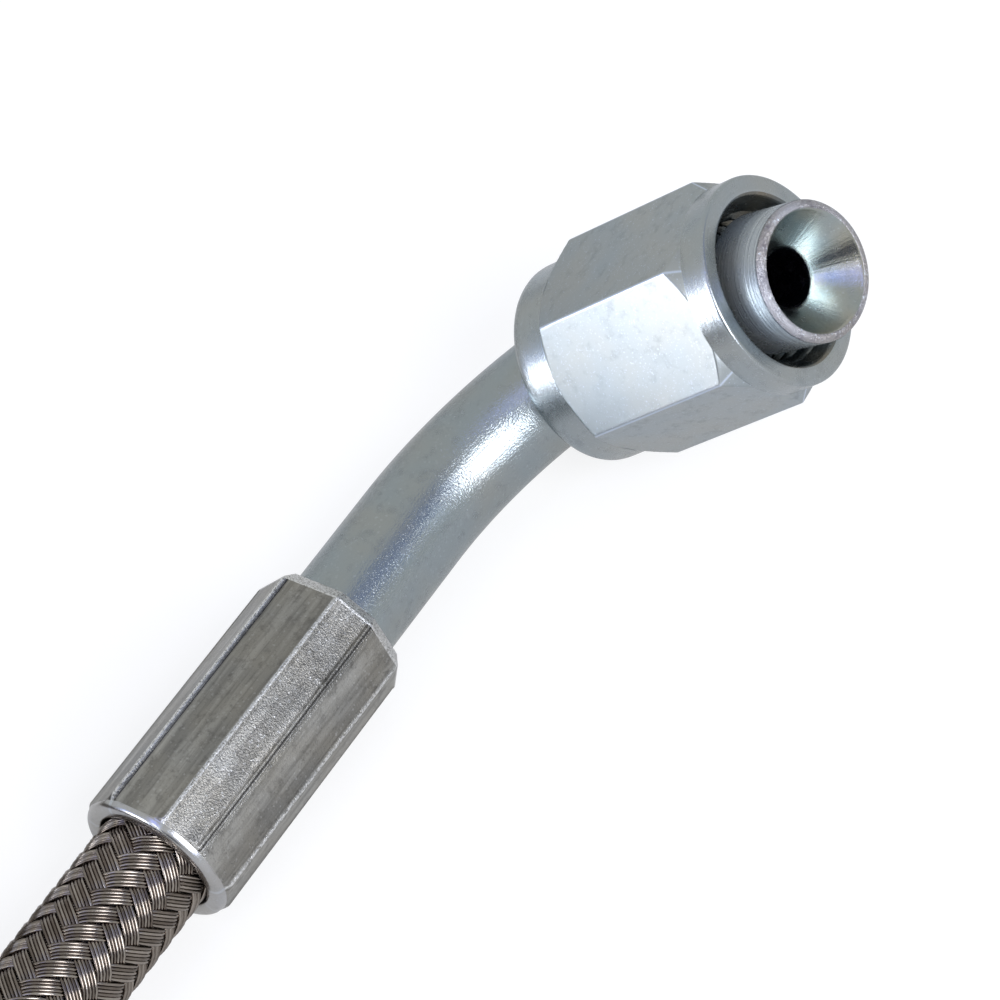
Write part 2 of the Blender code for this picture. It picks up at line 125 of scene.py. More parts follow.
def axis_frame(origin: Vector, axis: Vector, sideways: Vector) -> Matrix:
    """Makes a placing matrix from an axis and a sideways direction.

    Args:
        origin: Where the frame's zero lies.
        axis: Direction of its +Z.
        sideways: Direction that its +X leans to.

    Returns:
        The 4x4 matrix from the frame to the row frame.
    """
    z = axis.normalized()
    x = (sideways - z * sideways.dot(z)).normalized()
    turn = Matrix((x, z.cross(x), z)).transposed().to_4x4()
    return Matrix.Translation(origin) @ turn


def sky_direction(azimuth: float, elevation: float) -> Vector:
    """Returns the direction at an azimuth and an elevation, both in degrees."""
    turn, rise = math.radians(azimuth), math.radians(elevation)
    return Vector((math.cos(turn) * math.cos(rise), math.sin(turn) * math.cos(rise), math.sin(rise)))


def add_object(name: str, data: bpy.types.ID) -> bpy.types.Object:
    """Adds an object to the scene."""
    added = bpy.data.objects.new(name, data)
    bpy.context.scene.collection.objects.link(added)
    return added


def extrude_row(shape: bmesh.types.BMesh, edges: list) -> tuple[list, list]:
    """Extrudes edges by one row, and returns the row's new vertices and edges."""
    grown = bmesh.ops.extrude_edge_only(shape, edges=edges)["geom"]
    verts = [item for item in grown if isinstance(item, bmesh.types.BMVert)]
    return verts, [item for item in grown if isinstance(item, bmesh.types.BMEdge)]


def smooth_step(value: float) -> float:
    """Returns value, held to 0..1, eased at both ends."""
    value = min(1.0, max(0.0, value))
    return value * value * (3 - 2 * value)


class Graph:
    """Adds and links the nodes of one node tree."""

    def __init__(self, tree: bpy.types.NodeTree) -> None:
        """Keeps the tree that the nodes go to."""
        self.tree = tree

    def feed(self, node: bpy.types.Node, key: object, value: object) -> None:
        """Sets an input of a node, or links an output socket to it."""
        if isinstance(value, bpy.types.NodeSocket):
            self.tree.links.new(value, node.inputs[key])
        else:
            node.inputs[key].default_value = value

    def add(self, kind: str, inputs: Optional[dict] = None, **settings: object) -> bpy.types.Node:
        """Adds one node.

        Args:
            kind: The node's type name, without its ShaderNode prefix.
            inputs: A value or an output socket for each input, by name or number.
            settings: Attributes of the node.

        Returns:
            The new node.
        """
        node = self.tree.nodes.new("ShaderNode" + kind)
        for name, value in settings.items():
            setattr(node, name, value)
        for key, value in (inputs or {}).items():
            self.feed(node, key, value)
        return node

    def math(self, operation: str, first: object, second: object = 0.0) -> bpy.types.NodeSocket:
        """Returns the output of a Math node on two values or sockets."""
        return self.add("Math", {0: first, 1: second}, operation=operation).outputs[0]

    def mix(self, factor: object, first: object, second: object) -> bpy.types.NodeSocket:
        """Returns the colour between two colours.

        Args:
            factor: Share of the second colour.
            first: Colour at factor 0.
            second: Colour at factor 1.

        Returns:
            The colour socket.
        """
        node = self.add("Mix", {0: factor}, data_type="RGBA")
        for number, value in ((6, first), (7, second)):
            self.feed(node, number, value if isinstance(value, bpy.types.NodeSocket) else (*value, 1))
        return node.outputs[2]

    def stain(self, tint: object, mask: object, share: float, colour: object) -> bpy.types.NodeSocket:
        """Returns a tint with a share of another colour where a mask lies."""
        return self.mix(self.math("MULTIPLY", mask, share), tint, colour)

    def spread(self, value: object, low: float, high: float, to_low: float = 0.0,
               to_high: float = 1.0) -> bpy.types.NodeSocket:
        """Returns value mapped from low..high to to_low..to_high, held at the ends."""
        node = self.add("MapRange", {"Value": value, "From Min": low, "From Max": high,
                                     "To Min": to_low, "To Max": to_high})
        return node.outputs["Result"]

    def group(self, tree: bpy.types.NodeTree, inputs: Optional[dict] = None) -> bpy.types.Node:
        """Adds a node group with its inputs set."""
        return self.add("Group", inputs, node_tree=tree)

    def shade(self, shader: bpy.types.Node, tint: object, roughness: object, height: Optional[object] = None,
              depth: float = 0.0, metallic: float = 1.0) -> None:
        """Sets what a finish shows.

        Args:
            shader: The material's Principled BSDF.
            tint: Its base colour.
            roughness: Its roughness.
            height: The height of its relief, from 0 to 1, where it has one.
            depth: How deep the relief is.
            metallic: How metallic it is.
        """
        self.feed(shader, "Base Color", tint)
        self.feed(shader, "Roughness", roughness)
        self.feed(shader, "Metallic", metallic)
        if height is not None:
            bump = self.add("Bump", {"Height": height, "Distance": depth, "Strength": 1.0})
            self.feed(shader, "Normal", bump.outputs[0])


class Effects:
    """The node groups that several finishes share, each built once."""

    @staticmethod
    def _start(name: str, inputs: Iterable[str], outputs: Iterable[str]) -> tuple[Graph, object, object]:
        """Starts a group with named inputs and outputs.

        Args:
            name: The group's name.
            inputs: Names of its inputs.
            outputs: Names of its outputs; all of both are values.

        Returns:
            Its graph, its input node and its output node.
        """
        tree = bpy.data.node_groups.new(name, "ShaderNodeTree")
        for way, labels in (("INPUT", inputs), ("OUTPUT", outputs)):
            for label in labels:
                tree.interface.new_socket(name=label, in_out=way, socket_type="NodeSocketFloat")
        return Graph(tree), tree.nodes.new("NodeGroupInput"), tree.nodes.new("NodeGroupOutput")

    @staticmethod
    @cache
    def tool_marks() -> bpy.types.NodeTree:
        """Lines round a turned piece or along it, which meet at the surface's seam.

        Returns:
            A group that turns the surface map into the height of such lines.
        """
        graph, entry, leave = Effects._start("tool_marks", ["Around", "Along", "Detail"], ["Height"])
        surface = graph.add("UVMap", uv_map="surface").outputs[0]
        parts = graph.add("SeparateXYZ", {0: surface}).outputs
        angle = graph.math("MULTIPLY", parts[0], TAU)
        east = graph.math("MULTIPLY", graph.math("COSINE", angle), entry.outputs["Around"])
        north = graph.math("MULTIPLY", graph.math("SINE", angle), entry.outputs["Around"])
        along = graph.math("MULTIPLY", parts[1], entry.outputs["Along"])
        place = graph.add("CombineXYZ", {0: east, 1: north, 2: along}).outputs[0]
        noise = graph.add("TexNoise", {"Vector": place, "Scale": 1.0, "Detail": entry.outputs["Detail"]})
        graph.feed(leave, "Height", noise.outputs[0])
        return graph.tree

    @staticmethod
    @cache
    def grain() -> bpy.types.NodeTree:
        """Fine crystalline grain of plated or pressed metal.

        Returns:
            A group that gives the grain's height, and masks of its few bright specks and dark pits.
        """
        graph, entry, leave = Effects._start("metal_grain", ["Size"], ["Height", "Specks", "Pits"])
        place = graph.add("TexCoord").outputs["Object"]
        scale = graph.math("DIVIDE", 1.0, entry.outputs["Size"])
        noise = graph.add("TexNoise", {"Vector": place, "Scale": scale, "Detail": 3.0, "Roughness": 0.65})
        cells = graph.add("TexVoronoi", {"Vector": place, "Scale": scale})
        bumps = graph.math("MULTIPLY", cells.outputs["Distance"], 0.35)
        height = graph.math("ADD", noise.outputs[0], bumps)
        specks = graph.spread(cells.outputs["Color"], 0.80, 0.95)
        graph.feed(leave, "Height", height)
        graph.feed(leave, "Specks", specks)
        graph.feed(leave, "Pits", graph.spread(noise.outputs[0], 0.42, 0.30))
        return graph.tree

    @staticmethod
    @cache
    def patches() -> bpy.types.NodeTree:
        """Large soft patches, such as the uneven tint of a plated surface.

        Returns:
            A group that gives a broad mask and a blotchy one.
        """
        graph, entry, leave = Effects._start("soft_patches", ["Size"], ["Broad", "Blotches"])
        place = graph.add("TexCoord").outputs["Object"]
        scale = graph.math("DIVIDE", 1.0, entry.outputs["Size"])
        broad = graph.add("TexNoise", {"Vector": place, "Scale": scale, "Detail": 2.0})
        finer = graph.math("MULTIPLY", scale, 4.7)
        fine = graph.add("TexNoise", {"Vector": place, "Scale": finer, "Detail": 6.0, "Roughness": 0.7})
        graph.feed(leave, "Broad", graph.spread(broad.outputs[0], 0.35, 0.65))
        graph.feed(leave, "Blotches", graph.spread(fine.outputs[0], 0.52, 0.72))
        return graph.tree


def new_material(name: str) -> tuple[bpy.types.Material, Graph, bpy.types.Node]:
    """Starts a material.

    Args:
        name: The material's name.

    Returns:
        The material, its graph and its Principled BSDF.
    """
    material = bpy.data.materials.new(name)
    material.use_nodes = True
    return material, Graph(material.node_tree), material.node_tree.nodes["Principled BSDF"]


@dataclass(frozen=True)
class PlatedSteel:
    """Turned or formed steel under bright clear zinc, cool in tint, with its tool marks and grain, and worn edges
    with a painted highlight.
    """

    name: str
    cool: Colour = (0.395, 0.440, 0.462)
    warm: Colour = (0.425, 0.445, 0.435)
    dark: Colour = (0.16, 0.17, 0.19)
    smooth: float = 0.22
    rough: float = 0.36
    ring_depth: float = 0.0
    ring_pitch: float = 0.25
    streak_depth: float = 0.0
    streak_pitch: float = 0.2
    grain_depth: float = 0.3
    grain_size: float = 0.12 * MM
    speck_share: float = 0.25
    dirt_share: float = 0.25
    speck_and_edge_highlight_tint: Colour = (0.66, 0.71, 0.77)
    wear_and_highlight_share: float = 0.5
    bump_distance: float = 0.008 * MM
    metallic: float = 1.0

    def material(self) -> bpy.types.Material:
        """Builds the material."""
        material, graph, shader = new_material(self.name)
        patches = graph.group(Effects.patches(), {"Size": 5.0 * MM}).outputs
        grain = graph.group(Effects.grain(), {"Size": self.grain_size}).outputs
        marks = Effects.tool_marks()
        rings = graph.group(marks, {"Around": 0.6, "Along": 1 / self.ring_pitch, "Detail": 4.0})
        streaks = graph.group(marks, {"Around": 4.0 / self.streak_pitch, "Along": 0.12, "Detail": 4.0})
        wear_and_highlight = graph.add("Attribute", attribute_name="wear_and_highlight").outputs["Fac"]
        tint = graph.mix(patches["Broad"], self.cool, self.warm)
        tint = graph.stain(tint, patches["Blotches"], self.dirt_share, self.dark)
        # Bright grain specks, then the hexagon's worn edges: wear with a painted highlight, in the same pale tint.
        tint = graph.stain(tint, grain["Specks"], self.speck_share, self.speck_and_edge_highlight_tint)
        tint = graph.stain(tint, wear_and_highlight, self.wear_and_highlight_share, self.speck_and_edge_highlight_tint)
        height = graph.math("MULTIPLY", grain["Height"], self.grain_depth)
        height = graph.math("ADD", height, graph.math("MULTIPLY", rings.outputs[0], self.ring_depth))
        height = graph.math("ADD", height, graph.math("MULTIPLY", streaks.outputs[0], self.streak_depth))
        roughness = graph.spread(patches["Blotches"], 0.0, 1.0, self.smooth, self.rough)
        graph.shade(shader, tint, roughness, height, self.bump_distance, self.metallic)
        return material


@dataclass(frozen=True)
class PressedStainless:
    """Stainless steel pressed between dies: granular where a die bit, streaked where it slid, with painted
    highlights on its ridges and bevel and painted shade beside its ridges.
    """

    name: str
    base: Colour = (0.235, 0.232, 0.220)
    sheen: Colour = (0.54, 0.53, 0.50)
    stain: Colour = (0.34, 0.315, 0.265)
    bright: Colour = (0.72, 0.72, 0.71)
    dark: Colour = (0.045, 0.042, 0.040)
    grime: Colour = (0.09, 0.085, 0.078)
    rubbed_and_highlight: Colour = (0.86, 0.86, 0.85)
    crease_shade: Colour = (0.03, 0.028, 0.026)
    smooth: float = 0.27
    rough: float = 0.44
    bump_distance: float = 0.035 * MM

    def material(self) -> bpy.types.Material:
        """Builds the material."""
        material, graph, shader = new_material(self.name)
        patches = graph.group(Effects.patches(), {"Size": 4.5 * MM}).outputs
        coarse = graph.group(Effects.grain(), {"Size": 0.14 * MM}).outputs
        marks = Effects.tool_marks()
        broad = graph.group(marks, {"Around": 4.0, "Along": 0.05, "Detail": 3.0}).outputs[0]
        streaks = graph.group(marks, {"Around": 26.0, "Along": 0.30, "Detail": 5.0}).outputs[0]
        bite, groove, wear_and_highlight = (graph.add("Attribute", attribute_name=name).outputs["Fac"]
                              for name in ("bite", "groove", "wear_and_highlight"))
        tint = graph.stain(self.base, graph.spread(broad, 0.42, 0.58), 0.7, self.sheen)
        tint = graph.stain(tint, patches["Broad"], 0.5, self.stain)
        tint = graph.stain(tint, graph.spread(streaks, 0.50, 0.34), 0.22, self.dark)
        tint = graph.stain(tint, patches["Blotches"], 0.65, self.grime)
        specks = graph.math("MULTIPLY", coarse["Specks"], graph.spread(bite, 0.0, 1.0, 0.10, 0.55))
        pits = graph.math("MULTIPLY", coarse["Pits"], graph.spread(bite, 0.0, 1.0, 0.25, 0.65))
        tint = graph.mix(specks, tint, self.bright)
        tint = graph.mix(pits, tint, self.dark)
        # Ridges and the nose's bevel: partly wear, partly a painted highlight.
        polish_and_highlight = graph.math("MULTIPLY", wear_and_highlight, graph.spread(coarse["Height"], 0.50, 0.72))
        tint = graph.mix(polish_and_highlight, tint, self.rubbed_and_highlight)
        # Painted shade in the creases beside the ridges.
        tint = graph.stain(tint, groove, 0.92, self.crease_shade)
        height = graph.math("MULTIPLY", coarse["Height"], graph.spread(bite, 0.0, 1.0, 0.5, 1.6))
        height = graph.math("ADD", height, graph.math("MULTIPLY", streaks, 0.5))
        roughness = graph.spread(bite, 0.0, 1.0, self.smooth, self.rough)
        graph.shade(shader, tint, roughness, height, self.bump_distance)
        return material


def strand_tint(graph: Graph, pale: Colour, brown: Colour,
                scale: float) -> tuple[bpy.types.NodeSocket, bpy.types.NodeSocket]:
    """Tints strands that each differ a little, and mottle along their length.

    Args:
        graph: The material's graph.
        pale: The palest tint.
        brown: The darkest tint.
        scale: How fine the mottle is.

    Returns:
        The tint and the mottle.
    """
    strand = graph.add("Attribute", attribute_name="strand").outputs["Fac"]
    place = graph.add("TexCoord").outputs["Object"]
    mottle = graph.add("TexNoise", {"Vector": place, "Scale": scale, "Detail": 3.0}).outputs[0]
    shade = graph.math("ADD", graph.math("MULTIPLY", strand, 0.6), graph.math("MULTIPLY", mottle, 0.5))
    return graph.mix(shade, pale, brown), mottle


@dataclass(frozen=True)
class DrawnWire:
    """Fine drawn stainless wire, browned a little, in strands that each differ in tint."""

    name: str
    pale: Colour = (0.46, 0.41, 0.36)
    brown: Colour = (0.10, 0.077, 0.060)
    smooth: float = 0.09
    rough: float = 0.24

    def material(self) -> bpy.types.Material:
        """Builds the material."""
        material, graph, shader = new_material(self.name)
        tint, mottle = strand_tint(graph, self.pale, self.brown, 900.0)
        graph.shade(shader, tint, graph.spread(mottle, 0.3, 0.7, self.smooth, self.rough))
        return material


@dataclass(frozen=True)
class BraidedBand:
    """One band of the braid, whose wires are drawn by its own map, with painted shade between them: across is
    0..1, along is in mm.
    """

    name: str
    wires: int
    pale: Colour = (0.43, 0.385, 0.34)
    brown: Colour = (0.13, 0.105, 0.085)
    gap: Colour = (0.02, 0.016, 0.02)
    smooth: float = 0.20
    rough: float = 0.35
    wire_height: float = 0.10 * MM

    def material(self) -> bpy.types.Material:
        """Builds the material."""
        material, graph, shader = new_material(self.name)
        surface = graph.add("UVMap", uv_map="surface").outputs[0]
        across = graph.add("SeparateXYZ", {0: surface}).outputs[0]
        phase = graph.math("MULTIPLY", across, math.pi * self.wires)
        wave = graph.math("ABSOLUTE", graph.math("SINE", phase))
        tint, mottle = strand_tint(graph, self.pale, self.brown, 700.0)
        # Painted shade: the lines between the wires go near black.
        tint = graph.mix(graph.spread(wave, 0.05, 0.45, 1.0, 0.0), tint, self.gap)
        roughness = graph.spread(mottle, 0.3, 0.7, self.smooth, self.rough)
        graph.shade(shader, tint, roughness, wave, self.wire_height)
        return material


@dataclass(frozen=True)
class PlainPlastic:
    """Moulded plastic or rubbery under-layer with a faint mottle."""

    name: str
    light: Colour
    dark: Colour
    roughness: float = 0.5
    pattern: float = 400.0
    bump_distance: float = 0.02 * MM

    def material(self) -> bpy.types.Material:
        """Builds the material."""
        material, graph, shader = new_material(self.name)
        place = graph.add("TexCoord").outputs["Object"]
        noise = graph.add("TexNoise", {"Vector": place, "Scale": self.pattern, "Detail": 5.0}).outputs[0]
        tint = graph.mix(noise, self.light, self.dark)
        roughness = graph.spread(noise, 0.3, 0.7, self.roughness - 0.06, self.roughness + 0.08)
        graph.shade(shader, tint, roughness, noise, self.bump_distance, 0.0)
        return material


@dataclass(frozen=True)
class Ring:
    """One ring of a skin: its place, radius and distance along the skin, and what follows it."""

    place: Matrix
    radius: float
    along: float = 0.0
    finish: int = 0
    kind: Kind = Kind.PLAIN


@dataclass(frozen=True)
class Corner:
    """A corner of a turned outline: how far its edge is broken, and the finish and rows that follow it."""

    radius: float
    height: float
    fillet: float = 0.0
    finish: int = 0
    spacing: float = 1.0
    kind: Kind = Kind.PLAIN


def outline_points(corners: list[Corner], fillet_steps: int = 5) -> list[Corner]:
    """Rounds an outline's corners and divides its long stretches.

    Args:
        corners: The closed outline, in order.
        fillet_steps: Rows in each rounded corner.

    Returns:
        The outline's points, each with the finish and kind that follow it.
    """
    rounded: list[Corner] = []
    count = len(corners)
    for number, corner in enumerate(corners):
        here = Vector((corner.radius, corner.height))
        before = corners[number - 1]
        after = corners[(number + 1) % count]
        if not corner.fillet:
            rounded.append(corner)
            continue
        start = here + (Vector((before.radius, before.height)) - here).normalized() * corner.fillet
        end = here + (Vector((after.radius, after.height)) - here).normalized() * corner.fillet
        for step in range(fillet_steps + 1):
            share = step / fillet_steps
            point = start * (1 - share) ** 2 + here * 2 * share * (1 - share) + end * share ** 2
            last = step == fillet_steps
            finish = corner.finish if share >= 0.5 else before.finish
            spacing, kind = (corner.spacing, corner.kind) if last else (1.0, before.kind)
            rounded.append(Corner(point.x, point.y, 0, finish, spacing, kind))
    points: list[Corner] = []
    for number, corner in enumerate(rounded):
        after = rounded[(number + 1) % len(rounded)]
        length = math.hypot(after.radius - corner.radius, after.height - corner.height)
        rows = max(1, math.ceil(length / corner.spacing - 0.001))
        for row in range(rows):
            share = row / rows
            radius = corner.radius + (after.radius - corner.radius) * share
            height = corner.height + (after.height - corner.height) * share
            points.append(replace(corner, radius=radius, height=height, fillet=0.0))
    return points


def measured(rings: list[Ring]) -> list[Ring]:
    """Returns rings with their distance along the skin filled in."""
    done = rings[:1]
    for before, ring in zip(rings, rings[1:]):
        moved = (ring.place.translation - before.place.translation).length
        step = math.hypot(moved, ring.radius - before.radius)
        done.append(replace(ring, along=done[-1].along + step))
    return done


def turned_rings(points: list[Corner], place: Matrix) -> list[Ring]:
    """Sets an outline's points as rings along the +Z of a frame."""
    return measured([Ring(place @ Matrix.Translation((0, 0, point.height)), point.radius, 0.0, point.finish,
                          point.kind) for point in points])


class Skin:
    """Draws a closed skin through rings, by extruding one ring to the next."""

    SEAM_STEP = 0.5 * MM

    def __init__(self, sides: int, crowd: float = 0.0, corners: tuple[float, ...] = (0.0,)) -> None:
        """Sets how the sides lie.

        Args:
            sides: How many sides a ring has, a multiple of its corners.
            crowd: How much the sides crowd at the corners, from 0 to 1.
            corners: The angles of the corners between the piece's faces, in order.
        """
        self.sides = sides
        self.crowd = crowd
        self.corners = (*corners, corners[0] + TAU)
        self.sides_per_face = sides // len(corners)

    def angle(self, side: int) -> float:
        """Returns the angle of a side's corner."""
        face, step = divmod(side, self.sides_per_face)
        share = step / self.sides_per_face
        share -= self.crowd * math.sin(TAU * share) / TAU
        start = self.corners[face]
        return start + (self.corners[face + 1] - start) * share

    def draw(self, rings: list[Ring], rule: Optional[RingRule] = None,
             marks: Optional[dict[str, Callable[[Ring, float], float]]] = None,
             capped: bool = False) -> bmesh.types.BMesh:
        """Draws the skin and its surface map.

        Args:
            rings: The rings in order; the last one joins the first, unless the skin is capped.
            rule: Gives a ring's radius and its shift along the axis at an angle.
            marks: Gives each named point attribute at a ring and an angle.
            capped: Closes the first and last ring with a flat face each.

        Returns:
            The closed mesh.
        """
        shape = bmesh.new()
        side_layer = shape.verts.layers.int.new("side")
        row_layer = shape.verts.layers.int.new("row")
        mark_layers = {name: shape.verts.layers.float.new(name) for name in marks or {}}
        first = bmesh.ops.create_circle(shape, segments=self.sides, radius=1.0, cap_ends=False)["verts"]
        for number, vert in enumerate(first):
            vert[side_layer] = number
        verts, edges = list(first), list(shape.edges)
        first_edges = list(edges)
        for row, ring in enumerate(rings):
            if row:
                verts, edges = extrude_row(shape, edges)
            for vert in verts:
                angle = self.angle(vert[side_layer])
                radius, shift = rule(ring, angle) if rule else (ring.radius, 0.0)
                vert.co = ring.place @ Vector((radius * math.cos(angle), radius * math.sin(angle), shift))
                vert[row_layer] = row
                for name, layer in mark_layers.items():
                    vert[layer] = marks[name](ring, angle)
        if not capped:
            verts, edges = extrude_row(shape, edges)
            bmesh.ops.weld_verts(shape, targetmap={vert: first[vert[side_layer]] for vert in verts})
        self._map_surface(shape, rings, side_layer, row_layer)
        if capped:
            bmesh.ops.edgeloop_fill(shape, edges=first_edges)
            bmesh.ops.edgeloop_fill(shape, edges=edges)
        for name in ("side", "row"):
            shape.verts.layers.int.remove(shape.verts.layers.int[name])
        bmesh.ops.recalc_face_normals(shape, faces=shape.faces)
        return shape

    def _map_surface(self, shape: bmesh.types.BMesh, rings: list[Ring], side_layer: object,
                     row_layer: object) -> None:
        """Gives each face its finish and its place on the surface map: turns across, millimetres along."""
        surface = shape.loops.layers.uv.new("surface")
        last = len(rings) - 1
        for face in shape.faces:
            rows = [vert[row_layer] for vert in face.verts]
            sides = [vert[side_layer] for vert in face.verts]
            closing = max(rows) - min(rows) > 1
            seam = max(sides) - min(sides) > 1
            face.material_index = rings[last if closing else min(rows)].finish
            for loop in face.loops:
                side, row = loop.vert[side_layer], loop.vert[row_layer]
                turn = self.angle(side) / TAU + (1.0 if seam and side == 0 else 0.0)
                along = rings[last].along + self.SEAM_STEP if closing and row == 0 else rings[row].along
                loop[surface].uv = (turn, along / MM)


def make_piece(name: str, shape: bmesh.types.BMesh, finishes: list[bpy.types.Material], body: Body,
               replaces: Iterable[str] = (), sharp: float = 35.0) -> bpy.types.Object:
    """Makes a finished piece of a mesh that is already in place.

    Args:
        name: The piece's name.
        shape: Its mesh, which is used up.
        finishes: Its materials, in the order of the faces' numbers.
        body: The body that it rides on.
        replaces: The CAD nodes that it stands for.
        sharp: The angle in degrees past which an edge stays sharp.

    Returns:
        The piece.
    """
    mesh = bpy.data.meshes.new(name)
    shape.to_mesh(mesh)
    shape.free()
    for finish in finishes:
        mesh.materials.append(finish)
    mesh.shade_smooth()
    mesh.set_sharp_from_angle(angle=math.radians(sharp))
    piece = add_object(name, mesh)
    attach(piece, body.value)
    if replaces:
        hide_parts(*replaces)
    LOG.info("%s: %d faces", name, len(mesh.polygons))
    return piece


@dataclass(frozen=True)
class Finishes:
    """Every material of the line, made once."""

    # Its pale blue edge tint is wear with a painted highlight along the hexagon's edges.
    nut_flats: bpy.types.Material = field(default_factory=PlatedSteel(
        "nut_flats", smooth=0.30, rough=0.46, grain_depth=0.8, streak_depth=0.4, speck_share=0.45,
        grain_size=0.08 * MM, speck_and_edge_highlight_tint=(0.68, 0.76, 0.90), wear_and_highlight_share=0.9, dirt_share=0.30).material)
    nut_collars: bpy.types.Material = field(default_factory=PlatedSteel(
        "nut_collars", smooth=0.24, rough=0.36, ring_depth=2.0, ring_pitch=0.06, grain_depth=0.8).material)
    # The ferrule's lip is smoother than the ferrule, and its brighter tint is a painted highlight on the rounded
    # mouth.
    lip: bpy.types.Material = field(default_factory=PlatedSteel(
        "ferrule_lip_highlight", cool=(0.52, 0.52, 0.53), warm=(0.50, 0.49, 0.47), smooth=0.20, rough=0.30,
        grain_depth=0.4).material)
    # The nut's bore is painted dark: painted shade inside the nut.
    shaded_nut_bore: bpy.types.Material = field(default_factory=PlatedSteel(
        "shaded_nut_bore", cool=(0.11, 0.15, 0.18), warm=(0.22, 0.20, 0.16), smooth=0.22, rough=0.40,
        ring_depth=1.6, ring_pitch=0.08).material)
    tube: bpy.types.Material = field(default_factory=PlatedSteel(
        "bent_tube", cool=(0.355, 0.40, 0.415), warm=(0.38, 0.40, 0.385), smooth=0.21, rough=0.34,
        streak_depth=2.4, grain_depth=3.4, grain_size=0.14 * MM, speck_share=0.18, dirt_share=0.36).material)
    nose: bpy.types.Material = field(default_factory=PlatedSteel(
        "turned_nose", cool=(0.50, 0.56, 0.61), warm=(0.53, 0.56, 0.56), smooth=0.22, rough=0.36,
        ring_depth=5.0, ring_pitch=0.16, grain_depth=0.8, metallic=0.72).material)
    rim: bpy.types.Material = field(default_factory=PlatedSteel(
        "nose_rim", cool=(0.40, 0.40, 0.43), warm=(0.36, 0.34, 0.33), dark=(0.07, 0.06, 0.09), smooth=0.26,
        rough=0.5, grain_depth=9.0, grain_size=0.12 * MM, speck_share=1.0, dirt_share=0.85,
        metallic=0.7).material)
    cone: bpy.types.Material = field(default_factory=PlatedSteel(
        "seat_cone", cool=(0.33, 0.41, 0.44), warm=(0.46, 0.44, 0.37), smooth=0.20, rough=0.32,
        streak_depth=1.4, streak_pitch=0.30, grain_depth=1.0).material)
    # The stem's bore is painted dark: painted shade inside the tube.
    bore: bpy.types.Material = field(default_factory=PlatedSteel(
        "shaded_stem_bore", cool=(0.10, 0.11, 0.15), warm=(0.08, 0.08, 0.11), smooth=0.25, rough=0.45).material)
    ferrule: bpy.types.Material = field(default_factory=PressedStainless("pressed_ferrule").material)
    wire: bpy.types.Material = field(default_factory=DrawnWire("braid_wire").material)
    band: bpy.types.Material = field(default_factory=BraidedBand("braid_band", 5).material)
    # The core is painted near black: painted shade between the braid's wires.
    core: bpy.types.Material = field(default_factory=PlainPlastic(
        "shaded_hose_core", (0.030, 0.020, 0.022), (0.012, 0.010, 0.018), 0.6).material)
    liner: bpy.types.Material = field(default_factory=PlainPlastic(
        "liner_white", (0.80, 0.80, 0.77), (0.70, 0.70, 0.68), 0.4).material)
    strap: bpy.types.Material = field(default_factory=PlainPlastic(
        "strap_nylon", (0.022, 0.022, 0.024), (0.012, 0.012, 0.013), 0.45).material)


